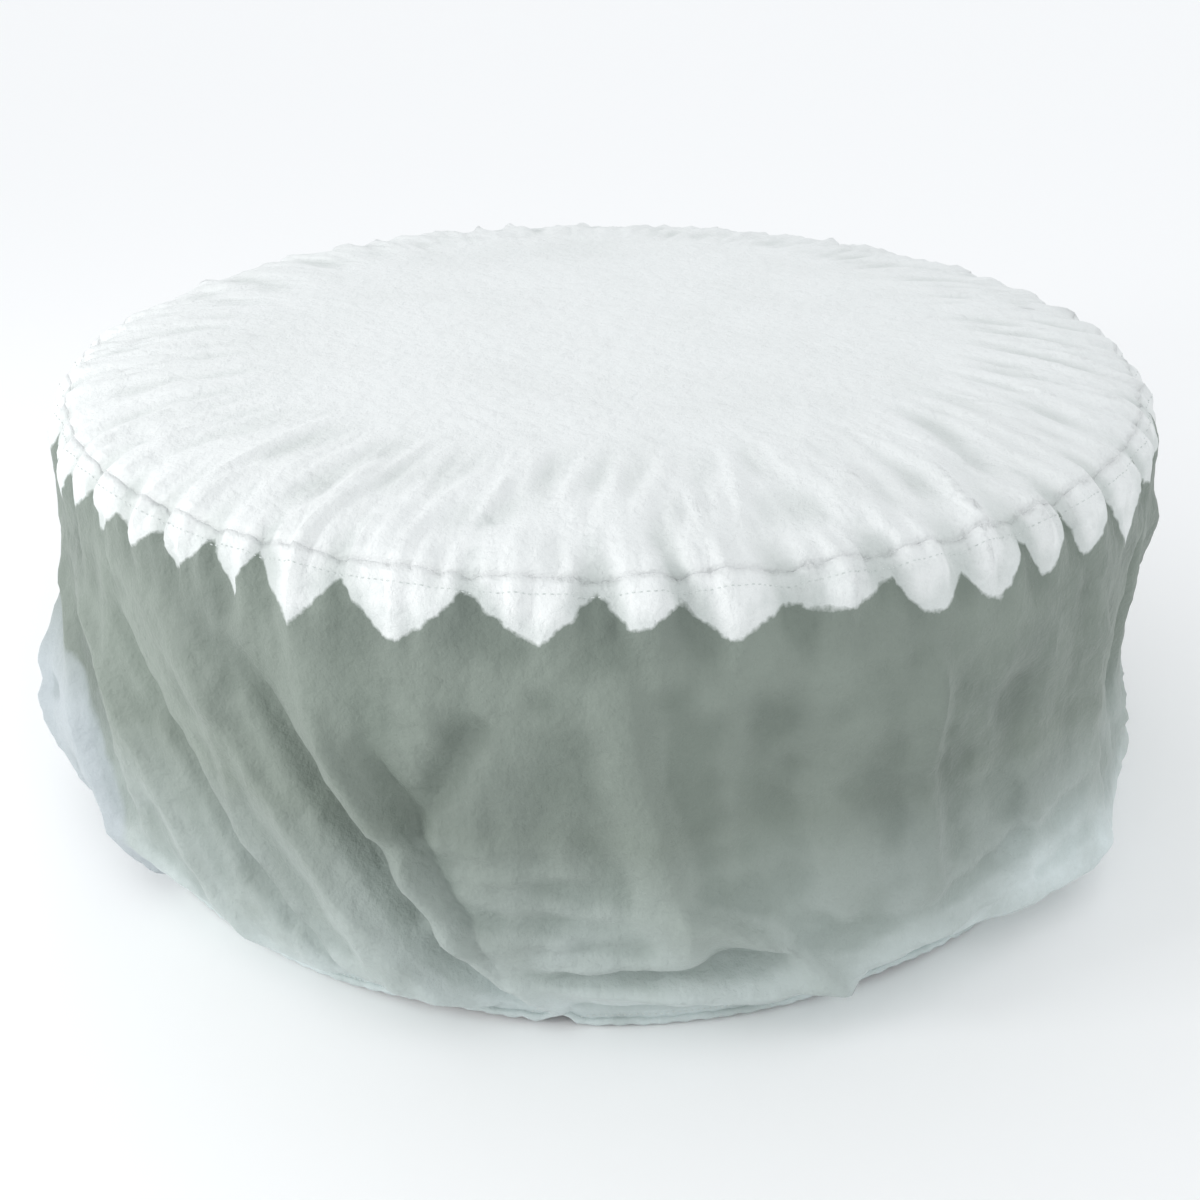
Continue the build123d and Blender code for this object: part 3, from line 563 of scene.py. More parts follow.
cover_cloth = look("cover_cloth", WHITE_CLOTH, 0.62, {"Sheen Weight": 0.15, "Sheen Roughness": 0.4})
gap = node(cover_cloth, "ShaderNodeAttribute", attribute_name="edge_gap").outputs["Fac"]
hem_lit_share = node(cover_cloth, "ShaderNodeAttribute", attribute_name="hem_lit_share").outputs["Fac"]
loose_share = node(cover_cloth, "ShaderNodeAttribute", attribute_name="loose_share").outputs["Fac"]
ragged = ramped(cover_cloth, noise(cover_cloth, 60.0, 3.0), 0.3, 0.7, -0.004, 0.004)
edge = ramped(cover_cloth, sum_of(cover_cloth, gap, ragged), -0.002, 0.004)
white = steps(cover_cloth, noise(cover_cloth, 5.0, 5.0), [(0.35, WARM_WHITE), (0.6, WHITE_CLOTH)])
uneven = ramped(cover_cloth, noise(cover_cloth, 24.0, 4.0), 0.3, 0.7, -0.03, 0.03)
# painted shade greys the white cloth near the tongue line, unevenly
edge_shade_share = ramped(cover_cloth, sum_of(cover_cloth, gap, uneven), 0.0, 0.045, 0.62, 0.0)
white = blend_colours(cover_cloth, edge_shade_share, white, (*SHADED_EDGE_WHITE, 1.0))
# painted shade: the skirt's grey-green, mottled at random
shade_sage = steps(cover_cloth, noise(cover_cloth, 3.2, 6.0, 0.6),
             [(0.3, SHADE_SAGE_DARK), (0.5, SHADE_SAGE_MID), (0.72, SHADE_SAGE_LIGHT)])
patchy = ramped(cover_cloth, noise(cover_cloth, 7.0, 4.0), 0.3, 0.7, 0.55, 1.0)
low_share = sum_of(cover_cloth, hem_lit_share, patchy, "MULTIPLY")
skirt_colour = blend_colours(cover_cloth, low_share, shade_sage, (*HEM_LIT_PALE, 1.0))
skirt_colour = blend_colours(cover_cloth, loose_share, skirt_colour, (*LOOSE_PALE, 1.0))
# white cloth above the tongue line, the painted shade of the skirt below it
both = blend_colours(cover_cloth, edge, skirt_colour, white)
# painted shade: the cloth is darkened where it lies deep in a crease
crease = node(cover_cloth, "ShaderNodeAttribute", attribute_name="crease_shade").outputs["Fac"]
painted_crease_shade = steps(cover_cloth, crease, [(0.0, (1.0, 1.0, 1.0)), (1.0, (0.70, 0.73, 0.71))])
both = blend_colours(cover_cloth, 1.0, both, painted_crease_shade, "MULTIPLY")
link(cover_cloth, both, cover_cloth.node_tree.nodes["Principled BSDF"].inputs["Base Color"])
creased = node(cover_cloth, "ShaderNodeTexNoise", {"Scale": 11.0, "Detail": 5.0, "Roughness": 0.55},
               noise_type="RIDGED_MULTIFRACTAL")
where = node(cover_cloth, "ShaderNodeTexCoord")
link(cover_cloth, where.outputs["Object"], creased.inputs["Vector"])
crinkle = sum_of(cover_cloth, noise(cover_cloth, 34.0, 6.0, 0.6),
                 sum_of(cover_cloth, creased.outputs["Fac"], 0.28, "MULTIPLY"))
raise_surface(cover_cloth, crinkle, 0.0075)

values = {"edge_gap": edge_gap, "crease_shade": crease_shade * np.where(edge_gap > 0, 0.60, 0.62),
          "hem_lit_share": hem_lit, "loose_share": pale}
cover_top = grid_piece("cover_top_cloth", cloth[1:TOP_ROWS],
                       {k: v[1:TOP_ROWS] for k, v in values.items()}, (0.0, 0.0, float(cover_z[0, 0])))
cover_skirt = grid_piece("cover_skirt_cloth", cloth[TOP_ROWS - 1:],
                         {k: v[TOP_ROWS - 1:] for k, v in values.items()})


def thicken(piece, depth):
    """Give a sheet its thickness on the inner side and close its edges."""
    wall = piece.modifiers.new("thickness", "SOLIDIFY")
    wall.thickness, wall.offset = depth, -1.0


# The hem is a narrow casing round the cord: a roll on the foot of the skirt, puckered by the cord.
ring_turns = np.linspace(0, 2 * np.pi, AROUND, endpoint=False)
foot_line = cloth[-1]
foot_r = np.hypot(foot_line[:, 0], foot_line[:, 1])
foot_z = np.maximum(foot_line[:, 2] + 0.002, 0.0080)
HEM_R = 0.0058                   # radius of the casing's roll
pucker = 0.0012 * (cloth_noise(ring_turns, ring_turns * 0, 150, 1, 51) - .5)
pucker += 0.0010 * np.sin(ring_turns * 190) + HEM_R
roll = []
for k in range(11):
    side = 2 * math.pi * k / 10
    r = foot_r + pucker * math.cos(side)
    z = foot_z - pucker * math.sin(side)
    roll.append(np.stack([r * np.cos(ring_turns), r * np.sin(ring_turns), z], 1))


def weld(piece):
    """Merge points that meet and turn every face outwards."""
    shape = bmesh.new()
    shape.from_mesh(piece.data)
    bmesh.ops.remove_doubles(shape, verts=shape.verts, dist=1e-5)
    bmesh.ops.recalc_face_normals(shape, faces=shape.faces)
    shape.to_mesh(piece.data)
    shape.free()


# the hem roll takes the painted light of the foot of the skirt, on the shade side of the tongue line
one_roll = np.full((11, AROUND), 1.0)
hem_roll = grid_piece("hem_roll", np.array(roll), {"edge_gap": -one_roll, "crease_shade": one_roll * 0,
                                                   "hem_lit_share": one_roll, "loose_share": one_roll * 0})
weld(hem_roll)
for piece in (cover_top, cover_skirt, hem_roll):
    piece.data.materials.append(cover_cloth)
    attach(piece, "cover")
thicken(cover_top, 0.0014)
thicken(cover_skirt, 0.0014)


def thread_row(name, points, closed, gap, look_of_thread):
    """Stitches along a line of points: Geometry Nodes set one short bead of thread at every gap."""
    ends = [(i, (i + 1) % len(points)) for i in range(len(points) if closed else len(points) - 1)]
    line = bpy.data.meshes.new(name)
    line.from_pydata([tuple(map(float, p)) for p in points], ends, [])
    piece = bpy.data.objects.new(name, line)
    bpy.context.scene.collection.objects.link(piece)
    tree = bpy.data.node_groups.new(name, "GeometryNodeTree")
    tree.interface.new_socket("Geometry", in_out="INPUT", socket_type="NodeSocketGeometry")
    gap_socket = tree.interface.new_socket("Gap", in_out="INPUT", socket_type="NodeSocketFloat")
    tree.interface.new_socket("Geometry", in_out="OUTPUT", socket_type="NodeSocketGeometry")
    start, end = tree.nodes.new("NodeGroupInput"), tree.nodes.new("NodeGroupOutput")
    curve = tree.nodes.new("GeometryNodeMeshToCurve")
    spots = tree.nodes.new("GeometryNodeCurveToPoints")
    spots.mode = "LENGTH"
    bead = tree.nodes.new("GeometryNodeMeshUVSphere")
    bead.inputs["Segments"].default_value, bead.inputs["Rings"].default_value = 6, 4
    bead.inputs["Radius"].default_value = 0.0009
    long_bead = tree.nodes.new("GeometryNodeTransform")
    long_bead.inputs["Scale"].default_value = (1.0, 1.0, 2.6)
    place = tree.nodes.new("GeometryNodeInstanceOnPoints")
    real = tree.nodes.new("GeometryNodeRealizeInstances")
    paint = tree.nodes.new("GeometryNodeSetMaterial")
    paint.inputs["Material"].default_value = look_of_thread
    for a, b in ((start.outputs["Geometry"], curve.inputs["Mesh"]),
                 (curve.outputs["Curve"], spots.inputs["Curve"]),
                 (start.outputs["Gap"], spots.inputs["Length"]),
                 (spots.outputs["Points"], place.inputs["Points"]),
                 (spots.outputs["Rotation"], place.inputs["Rotation"]),
                 (bead.outputs["Mesh"], long_bead.inputs["Geometry"]),
                 (long_bead.outputs["Geometry"], place.inputs["Instance"]),
                 (place.outputs["Instances"], real.inputs["Geometry"]),
                 (real.outputs["Geometry"], paint.inputs["Geometry"]),
                 (paint.outputs["Geometry"], end.inputs["Geometry"])):
        tree.links.new(a, b)
    made = piece.modifiers.new("stitches", "NODES")
    made.node_group = tree
    made[gap_socket.identifier] = gap
    done = bpy.data.meshes.new_from_object(piece.evaluated_get(bpy.context.evaluated_depsgraph_get()))
    piece.modifiers.clear()
    piece.data = done
    return piece


pale_thread = look("pale_thread", (0.62, 0.66, 0.64), 0.7, {"Sheen Weight": 0.3})
tint(pale_thread, noise(pale_thread, 300.0, 2.0), (0.50, 0.54, 0.52), (0.70, 0.74, 0.72))


def outside(row, lift):
    """A line that lies just outside one row of the cover cloth."""
    line = cloth[row].copy()
    line[:, 0] += lift * np.cos(ring_turns)
    line[:, 1] += lift * np.sin(ring_turns)
    return line


cover_seam = thread_row("cover_seam_stitches", outside(TOP_ROWS + 1, 0.0001), True, 0.0085, pale_thread)
hem_seam = thread_row("hem_stitches", outside(rows - 3, 0.0004), True, 0.0085, pale_thread)
for piece in (cover_seam, hem_seam):
    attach(piece, "cover")
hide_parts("cover_top")
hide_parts("cover_skirt", "gather_tape")
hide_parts("hem_casing", "hem_elastic")

# ---- inflated wall and rim -------------------------------------------------------------------
# The air chamber is dark laminated leatherette over drop-stitched webs. It is drawn in a little at
# every web and puckers along the welded seams at the rim and at the foot.
WEB_TURNS = np.arange(7.5, 360, 15)


def shell_outline(face, depth):
    """A closed outline from a line of (radius, height) points and the same line moved inwards."""
    face = np.asarray(face, float)
    way = np.gradient(face, axis=0)
    way /= np.hypot(way[:, 0], way[:, 1])[:, None]
    inner = face + depth * np.stack([way[:, 1], -way[:, 0]], 1)
    return np.vstack([face, inner[::-1]])


def turned_solid(name, outline, count, shape=None):
    """A closed outline turned round the tub, moved at each point by the shape's two offsets."""
    outline = np.vstack([outline, outline[:1]])
    ring = np.linspace(0, 2 * np.pi, count, endpoint=False)
    turns, index = np.meshgrid(ring, np.arange(len(outline)))
    r, z = outline[index, 0], outline[index, 1]
    if shape:
        out, up = shape(turns, r, z)
        r, z = r + out, z + up
    piece = grid_piece(name, np.stack([r * np.cos(turns), r * np.sin(turns), z], 2), {})
    weld(piece)
    return piece


def web_pull(turns, width):
    """How near each direction is to a web, from 0 to 1."""
    off = np.min([np.abs(angle_from(turns, web)) for web in WEB_TURNS], axis=0)
    return np.exp(-(off / width) ** 2)


def cut_away(piece, low, high):
    """Cut a box-shaped opening through a piece."""
    box = bmesh.new()
    bmesh.ops.create_cube(box, size=1.0)
    for corner in box.verts:
        corner.co = [a + (0.5 + c) * (b - a) for a, b, c in zip(low, high, corner.co)]
    data = bpy.data.meshes.new("opening")
    box.to_mesh(data)
    box.free()
    cutter = bpy.data.objects.new("opening", data)
    bpy.context.scene.collection.objects.link(cutter)
    cut = piece.modifiers.new("opening", "BOOLEAN")
    cut.object, cut.operation, cut.solver = cutter, "DIFFERENCE", "EXACT"
    done = bpy.data.meshes.new_from_object(piece.evaluated_get(bpy.context.evaluated_depsgraph_get()))
    piece.modifiers.clear()
    piece.data = done
    bpy.data.objects.remove(cutter)


def wall_shape(turns, r, z):
    """Dimples along the webs and small puckers towards both seams, all inwards."""
    middle = np.clip(np.minimum(z - .03, .63 - z) / .10, 0, 1)
    seam = near(z, .64, .035) + near(z, .03, .035)
    inwards = 0.0045 * web_pull(turns, 1.6) * middle + 0.0022 * seam * ridges(turns, z, 130, 0.12, 61)
    return -inwards - 0.0006 * cloth_noise(turns, z, 60, .07, 62), 0


wall_face = smooth_through([(.8848, .6388), (.8890, .52), (.8898, .33), (.8882, .15), (.8842, .030),
                            (.877, .011), (.864, .0045)], 70)
wall_skin = turned_solid("wall_laminate", shell_outline(wall_face, 0.003), 540, wall_shape)
cut_away(wall_skin, (-.214, .6, .039), (.214, 1.0, .561))


def rim_shape(turns, r, z):
    """Fine puckers on both shoulders of the rim."""
    low = np.clip((.690 - z) / .05, 0, 1)
    wave = ridges(turns, z, 150, 0.15, 63) * 0.7 + 0.3 * ridges(turns, z, 320, 0.1, 64)
    down = 0.0022 * low * wave * np.clip((z - ARCH_Z) / .01, 0, 1)
    return 0, -down - 0.0008 * cloth_noise(turns, r, 50, .05, 65)


arch = [(ARCH_R + .0908 * math.cos(a), ARCH_Z + .0598 * math.sin(a)) for a in np.linspace(math.pi, 0, 60)]
rim_skin = turned_solid("rim_laminate", shell_outline(arch, 0.003), 540, rim_shape)


def band_outline(radius, low, high, depth):
    """A flat welded strip with rounded edges on a wall of a given radius."""
    soft = depth * 0.6
    back, front = radius + .00005, radius + depth
    return np.array([(back, high), (front - soft, high), (front, high - soft),
                     (front, low + soft), (front - soft, low), (back, low)])


high_strip = turned_solid("rim_strip", band_outline(.8851, .631, .638, .0012), 360)
low_strip = turned_solid("foot_strip", band_outline(.8846, .032, .038, .0012), 360)
cut_away(low_strip, (-.232, .6, .02), (.232, 1.0, .05))


def wall_patch(turn, half_wide, low, high, radius=None, depth=.0012):
    """A welded patch with bowed sides, bent to the wall."""
    across, down = np.meshgrid(np.linspace(-1, 1, 25), np.linspace(1, -1, 17))
    wide = across * half_wide * np.sqrt(1 - 0.12 * down ** 2)
    z = (low + high) / 2 + (high - low) / 2 * down * np.sqrt(1 - 0.12 * across ** 2)
    edge = np.clip((1 - np.maximum(np.abs(across), np.abs(down))) / .10, 0, 1)
    back = np.interp(z, wall_face[::-1, 1], wall_face[::-1, 0]) + .0004 if radius is None else radius
    r = back + depth * (0.35 + 0.65 * edge)
    a = math.radians(turn) + wide / .890
    return np.stack([r * np.cos(a), r * np.sin(a), z], 2)


def open_piece(name, sheets):
    """One mesh from several open grids of points that face outwards."""
    verts, faces = [], []
    for points in sheets:
        down, wide = points.shape[:2]
        first = len(verts)
        index = first + np.arange(down * wide).reshape(down, wide)
        verts += points.reshape(-1, 3).tolist()
        quads = np.stack([index[:-1, :-1], index[1:, :-1], index[1:, 1:], index[:-1, 1:]], 2)
        faces += quads.reshape(-1, 4).tolist()
    mesh = bpy.data.meshes.new(name)
    mesh.from_pydata(verts, [], faces)
    mesh.polygons.foreach_set("use_smooth", [True] * len(mesh.polygons))
    piece = bpy.data.objects.new(name, mesh)
    bpy.context.scene.collection.objects.link(piece)
    return piece


STRAP_TURNS, HANDLE_TURNS = (0, 50, 130, 180, 245, 295), (0, 180)
patches = open_piece("wall_patches_welded", [wall_patch(t, .028, .530, .585) for t in STRAP_TURNS]
                     + [wall_patch(t, .115, .385, .445) for t in HANDLE_TURNS])
thicken(patches, 0.0006)

# Leatherette: a grain of small cells pressed into a soft laminate, a little shinier where it is touched.
leatherette = look("leatherette", (0.075, 0.08, 0.082), 0.5)
cells = node(leatherette, "ShaderNodeTexVoronoi", {"Scale": 340.0}, feature="DISTANCE_TO_EDGE")
place = node(leatherette, "ShaderNodeTexCoord")
link(leatherette, place.outputs["Object"], cells.inputs["Vector"])
tint(leatherette, noise(leatherette, 6.0, 5.0), (0.058, 0.062, 0.064), (0.098, 0.104, 0.106))
gloss(leatherette, noise(leatherette, 9.0, 3.0), 0.42, 0.58)
grain = sum_of(leatherette, ramped(leatherette, cells.outputs["Distance"], 0.0, 0.12),
               noise(leatherette, 120.0), "MULTIPLY")
raise_surface(leatherette, grain, 0.0012)

for piece, replaced in ((wall_skin, ["outer_wall"]), (rim_skin, ["rim_panel"]),
                        (high_strip, ["seam_welts"]), (low_strip, []), (patches, ["wall_patches"])):
    piece.data.materials.append(leatherette)
    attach(piece, "tub")
    if replaced:
        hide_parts(*replaced)

# ---- well, floor and ground mat --------------------------------------------------------------
# The liner is pale vinyl with a fine scrim under it. It is drawn out at every web. The floor is a
# thin air-cell pad, and the dark mat under the tub has an embossed pattern of small pads.
def liner_shape(turns, r, z):
    """The liner bulges back between the webs."""
    middle = np.clip(np.minimum(z - .08, .60 - z) / .06, 0, 1)
    return 0.0006 + (1 - web_pull(turns, 1.8)) * 0.0016 * middle, 0


inner_face = np.array([(.7005, z) for z in np.linspace(.0085, .6390, 60)])
liner_line = np.vstack([inner_face, inner_face[::-1] + (.0014, 0)])
liner_skin = turned_solid("well_liner", liner_line, 480, liner_shape)


def pad_lift(points_x, points_y, pitch):
    """Soft round pads in a honeycomb, from 0 between them to 1 on their tops."""
    u, v = points_x / pitch, points_y / (pitch * math.sqrt(3))
    near_a = np.hypot(u - np.round(u), (v - np.round(v)) * math.sqrt(3))
    near_b = np.hypot(u - np.floor(u) - .5, (v - np.floor(v) - .5) * math.sqrt(3))
    return np.clip(1 - (np.minimum(near_a, near_b) / 0.5) ** 3, 0, 1)


def floor_shape(turns, r, z):
    """Air cells on the upper side of the floor."""
    cells_up = pad_lift(r * np.cos(turns), r * np.sin(turns), 0.055)
    return 0, np.where(z > .010, -0.0035 * (1 - cells_up) * np.clip((.69 - r) / .01, 0, 1), 0)


floor_top = [(r, .0118) for r in np.linspace(0.0, .694, 150)] + [(.6985, .0105)]
floor_low = [(.6985, .0060), (.694, .0045), (0.0, .0045)]
floor_pad = turned_solid("floor_pad", np.array(floor_top + floor_low), 360, floor_shape)


def mat_shape(turns, r, z):
    """Embossed pads on the ground mat."""
    pads = pad_lift(r * np.cos(turns), r * np.sin(turns), 0.075)
    return 0, np.where(z > .003, -0.0009 * (1 - pads), 0)


mat_top = [(r, .0038) for r in np.linspace(0.0, .842, 130)]
mat_edge = [(.845, .0028), (.845, .0008), (.842, 0.0), (0.0, 0.0)]
ground_sheet = turned_solid("ground_pad", np.array(mat_top + mat_edge), 300, mat_shape)
base_line = [(.704, .0042), (.704, .0066), (.78, .0069), (.857, .0066), (.8575, .0045), (.78, .0042)]
foot_skin = turned_solid("base_skin", np.array(base_line), 240)

liner_look = look("pale_liner", (0.72, 0.75, 0.75), 0.42)
scrim = node(liner_look, "ShaderNodeTexWave", {"Scale": 130.0, "Distortion": 0.4},
             wave_type="BANDS", bands_direction="Z")
place = node(liner_look, "ShaderNodeTexCoord")
link(liner_look, place.outputs["Object"], scrim.inputs["Vector"])
tint(liner_look, noise(liner_look, 4.0, 4.0), (0.62, 0.66, 0.665), (0.75, 0.785, 0.79))
gloss(liner_look, noise(liner_look, 12.0), 0.34, 0.5)
raise_surface(liner_look, sum_of(liner_look, scrim.outputs["Fac"], noise(liner_look, 90.0)), 0.0003)

dark_mat = look("dark_mat", (0.2, 0.21, 0.215), 0.75)
tint(dark_mat, noise(dark_mat, 5.0, 5.0), (0.15, 0.16, 0.165), (0.25, 0.26, 0.265))
raise_surface(dark_mat, noise(dark_mat, 260.0, 3.0), 0.0005)

for piece, slot, surface, node_name in ((liner_skin, "liner", liner_look, "inner_wall"),
                                        (floor_pad, "liner", liner_look, "tub_floor"),
                                        (ground_sheet, "ground_mat", dark_mat, "ground_mat"),
                                        (foot_skin, "liner_dark", dark_mat, "base_panel")):
    piece.data.materials.append(surface)
    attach(piece, "tub")
    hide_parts(node_name)

# ---- lid -------------------------------------------------------------------------------------
# A leatherette sheet in eight sewn wedges, with an inflated pad under it that its lining holds. The
# pad is a vinyl pillow whose inner rings keep it flat, so its faces dip in circles.
def lid_shape(turns, r, z):
    """Sewn grooves between the wedges and soft wrinkles, always inwards."""
    off = np.abs((np.degrees(turns) + 22.5) % 45 - 22.5) * np.radians(1) * r
    groove = near(off, 0, .0035) * np.clip((r - .02) / .03, 0, 1) * np.clip((.705 - r) / .01, 0, 1)
    groove += near(r, .700, .0035) * (z > .69)
    side = np.clip((r - .72) / .08, 0, 1)
    ripple = side * 0.0011 * ridges(turns, z + r, 120, .11, 71)
    ripple += 0.0006 * cloth_noise(turns, r, 20, .12, 72)
    return -np.where(r > .87, ripple * 0.6, 0), -0.0010 * groove - np.where(r <= .87, ripple * 0.7, 0)


def crest(grow, angles):
    """Points on the rim's section, grown by a margin."""
    return [(ARCH_R + (.091 + grow) * math.sin(a), ARCH_Z + (.060 + grow) * math.cos(a)) for a in angles]


lid_top = smooth_through([(0.0, .7220), (.35, .7200), (.62, .7140), (.74, .7080)]
                         + crest(.0042, np.radians([10, 30, 50, 70, 90])) + [(.8893, .6205)], 120)
lid_skin = turned_solid("lid_leatherette", shell_outline(lid_top, 0.0020), 480, lid_shape)


def pad_shape(turns, r, z):
    """Rings where the pad's inner bands hold its two faces together."""
    hold = sum(near(r, ring, .012) for ring in (.12, .24, .36, .48, .60))
    crimp = 0.25 * cloth_noise(turns, r, 70, .03, 73) + 0.75
    return 0, np.where(z > .656, -1, 1) * 0.008 * hold * crimp * (r < .63)


pad_line = [(0.0, .7148), (.35, .7128), (.60, .7070), (.640, .6990), (.662, .680), (.6695, .656),
            (.662, .632), (.640, .613), (.60, .6070), (.35, .6064), (0.0, .6064)]
lid_pad = turned_solid("lid_pad", smooth_through(pad_line, 190), 240, pad_shape)

lining_line = smooth_through([(0.0, .6027), (.30, .6027), (.60, .6028), (.640, .6090), (.6640, .630),
                              (.6728, .656), (.6640, .682), (.640, .702), (.620, .7090)], 120)
lining_skin = turned_solid("lid_lining_cloth", shell_outline(lining_line, -0.0012), 360,
                           lambda turns, r, z: (-0.0004 * ridges(turns, z, 90, .05, 74), 0))

pad_look = look("pad_vinyl", (0.20, 0.32, 0.40), 0.3, {"Coat Weight": 0.3, "Coat Roughness": 0.15})
tint(pad_look, noise(pad_look, 3.0, 4.0), (0.16, 0.27, 0.35), (0.24, 0.37, 0.45))
raise_surface(pad_look, noise(pad_look, 40.0, 5.0), 0.0012)

lining_look = look("silver_lining", (0.62, 0.64, 0.65), 0.45, {"Metallic": 0.35})
tint(lining_look, noise(lining_look, 8.0, 6.0), (0.54, 0.56, 0.57), (0.70, 0.72, 0.73))
raise_surface(lining_look, noise(lining_look, 55.0, 6.0, 0.65), 0.0020)

webbing = look("webbing", (0.05, 0.052, 0.055), 0.8, {"Sheen Weight": 0.4})
ribs = node(webbing, "ShaderNodeTexWave", {"Scale": 260.0, "Distortion": 0.6},
            wave_type="BANDS", bands_direction="Z")
place = node(webbing, "ShaderNodeTexCoord")
link(webbing, place.outputs["Object"], ribs.inputs["Vector"])
tint(webbing, noise(webbing, 500.0, 2.0), (0.035, 0.036, 0.039), (0.075, 0.078, 0.082))
raise_surface(webbing, sum_of(webbing, ribs.outputs["Fac"], noise(webbing, 700.0)), 0.0006)

straps = open_piece("lid_strap_webbing",
                    [wall_patch(t, .0125, .5962, .6360, .8897, .0012) for t in STRAP_TURNS])
thicken(straps, 0.0008)


def handle_strip(turn):
    """One carry handle: a strap that lies on its patch at both ends and stands off between them."""
    across, down = np.meshgrid(np.linspace(-6.4, 6.4, 61), np.linspace(1, -1, 9))
    lift = np.clip((6.3 - np.abs(across)) / 1.3, 0, 1)
    r = .8938 + .0078 * lift * lift * (3 - 2 * lift) - .0006 * down ** 4
    a = np.radians(turn + across)
    return np.stack([r * np.cos(a), r * np.sin(a), .415 + .0148 * down], 2)


handles = open_piece("carry_handle_webbing", [handle_strip(t) for t in HANDLE_TURNS])
thicken(handles, 0.0019)
dark_thread = look("dark_thread", (0.11, 0.115, 0.12), 0.6, {"Sheen Weight": 0.3})
tint(dark_thread, noise(dark_thread, 400.0, 2.0), (0.08, 0.085, 0.09), (0.16, 0.165, 0.17))
circle = np.linspace(0, 2 * np.pi, 240, endpoint=False)
seam_line = [(.7045 * math.cos(a), .7045 * math.sin(a), .7096) for a in circle]
lid_seam = thread_row("lid_seam_stitches", seam_line, True, 0.0075, dark_thread)

# zip: a tape on an arc of the lining, with two rows of teeth set by Geometry Nodes
ZIP_R = .560
zip_arc = np.radians(np.linspace(21, 159, 160))
across, arc = np.meshgrid(np.linspace(-.0078, .0078, 7), zip_arc)
tape = [(ZIP_R + across) * np.cos(arc), (ZIP_R + across) * np.sin(arc), 0 * arc + .6014]
zip_tape = open_piece("zip_tape", [np.stack(tape, 2)])
thicken(zip_tape, -0.0009)
zip_look = look("zip_teeth", (0.5, 0.51, 0.52), 0.35, {"Metallic": 0.8})
tint(zip_look, noise(zip_look, 300.0), (0.42, 0.43, 0.44), (0.60, 0.61, 0.62))
teeth = [thread_row(f"zip_teeth_{side}", [(r * math.cos(a), r * math.sin(a), .6010) for a in zip_arc],
                    False, 0.0052, zip_look)
         for side, r in (("inner", ZIP_R - .001), ("outer", ZIP_R + .001))]

for piece, slot, surface, names, body in (
        (lid_skin, "leatherette", leatherette, ["lid_sheet"], "lid"),
        (lid_pad, "pad_vinyl", pad_look, ["lid_bladder"], "lid"),
        (lining_skin, "lining", lining_look, ["lid_lining"], "lid"),
        (straps, "webbing", webbing, ["lid_straps"], "lid"),
        (handles, "webbing", webbing, ["carry_handles"], "tub"),
        (zip_tape, "webbing", webbing, ["lid_zip"], "lid"), (lid_seam, "webbing", None, [], "lid"),
        (teeth[0], "zip_metal", None, [], "lid"), (teeth[1], "zip_metal", None, [], "lid")):
    if surface:
        piece.data.materials.append(surface)
    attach(piece, body)
    if names:
        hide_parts(*names)

# ---- hard parts from the CAD -----------------------------------------------------------------
# Mouldings, metal parts, hoses and fittings keep their CAD shapes and get their real finishes.
def moulded(name, base, spread, rough, grain_scale, depth, finish=None, stretch=(1, 1, 1)):
    """A finish with mottled colour, uneven gloss and a fine grain."""
    made = look(name, base, rough, finish)
    low, high = ([max(0.0, c * (1 + k * spread)) for c in base] for k in (-1, 1))
    tint(made, noise(made, 14.0, 5.0, 0.6, stretch), low, high)
    gloss(made, noise(made, 35.0, 4.0), rough - 0.07, rough + 0.07)
    raise_surface(made, noise(made, grain_scale, 4.0, 0.6, stretch), depth)
    return made


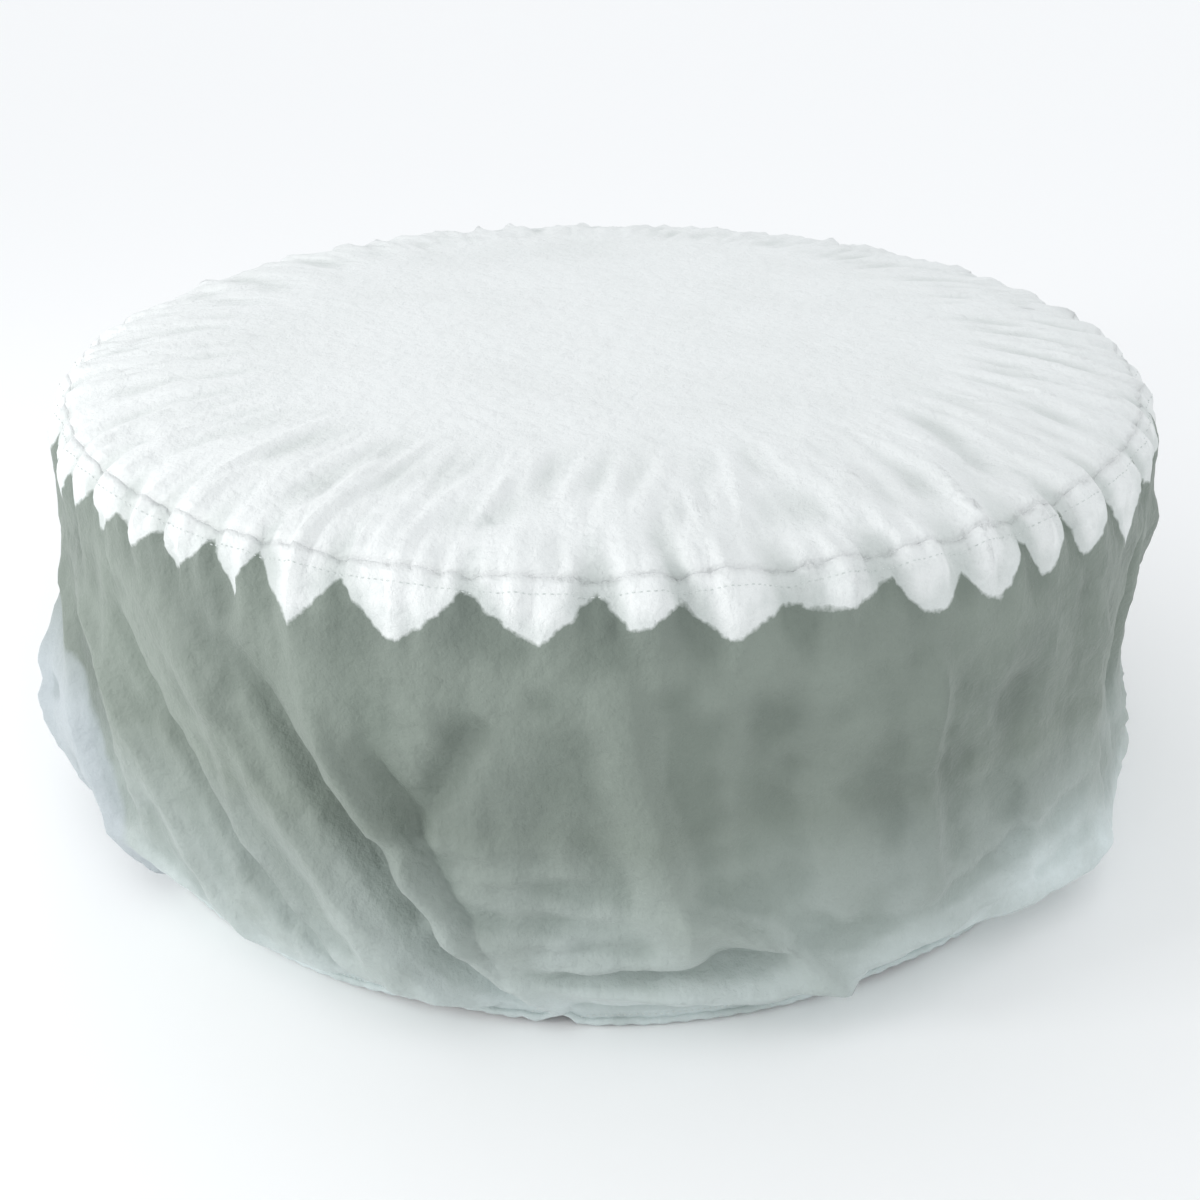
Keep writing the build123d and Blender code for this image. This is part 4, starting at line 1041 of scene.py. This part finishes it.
finishes = {
    "buckle_plastic": moulded("buckle_plastic", (0.045, 0.047, 0.05), .25, .45, 600, .0002),
    "zip_metal": moulded("zip_metal", (0.62, 0.63, 0.64), .12, .3, 200, .0001,
                         {"Metallic": 1.0}, (1, 1, 8)),
    "valve_plastic": moulded("valve_plastic", (0.82, 0.83, 0.83), .05, .4, 300, .0002),
    "liner": moulded("web_vinyl", (0.72, 0.75, 0.75), .08, .5, 150, .0003),
    "liner_ring": moulded("ring_vinyl", (0.62, 0.67, 0.69), .08, .4, 120, .0004),
    "housing_plastic": moulded("housing_plastic", (0.16, 0.165, 0.17), .18, .55, 420, .0003),
    "door_plastic": moulded("door_plastic", (0.10, 0.105, 0.11), .18, .55, 380, .0005),
    "gasket": moulded("gasket", (0.03, 0.03, 0.032), .3, .8, 700, .0004),
    "steel": moulded("brushed_steel", (0.60, 0.61, 0.62), .08, .28, 150, .00008,
                     {"Metallic": 1.0}, (1, 12, 1)),
    "gland_plastic": moulded("gland_plastic", (0.03, 0.03, 0.03), .3, .5, 500, .0002),
    "bezel_plastic": moulded("bezel_plastic", (0.02, 0.021, 0.023), .2, .18, 300, .00005,
                             {"Coat Weight": 0.5}),
    "display_glass": moulded("display_glass", (0.015, 0.018, 0.022), .2, .12, 100, .00002,
                             {"Coat Weight": 1.0}),
    "circuit_board": moulded("circuit_board", (0.02, 0.16, 0.08), .35, .4, 260, .0004),
    "fitting_plastic": moulded("fitting_plastic", (0.78, 0.79, 0.79), .05, .32, 260, .0002),
    "cap_plastic": moulded("cap_plastic", (0.12, 0.125, 0.13), .2, .5, 380, .0003),
    "filter_paper": moulded("filter_paper", (0.88, 0.89, 0.90), .06, .9, 240, .0012, None, (1, 1, 6)),
    "rotor_plastic": moulded("rotor_plastic", (0.80, 0.79, 0.74), .06, .45, 260, .0002),
    "motor_metal": moulded("motor_paint", (0.10, 0.11, 0.12), .2, .42, 500, .0003),
    "bracket_metal": moulded("bracket_paint", (0.30, 0.31, 0.32), .12, .48, 500, .0003),
    "hose_rubber": moulded("hose_rubber", (0.07, 0.07, 0.072), .25, .7, 330, .0005),
    "button_rubber": moulded("button_rubber", (0.62, 0.63, 0.64), .06, .65, 420, .0002),
}
shown = {part["node"]: part["material_slot"] for part in frame["record"]["subparts"]}
for name, slot in shown.items():
    if slot in finishes:
        part = frame["nodes"][name]
        part.data.materials.clear()
        part.data.materials.append(finishes[slot])
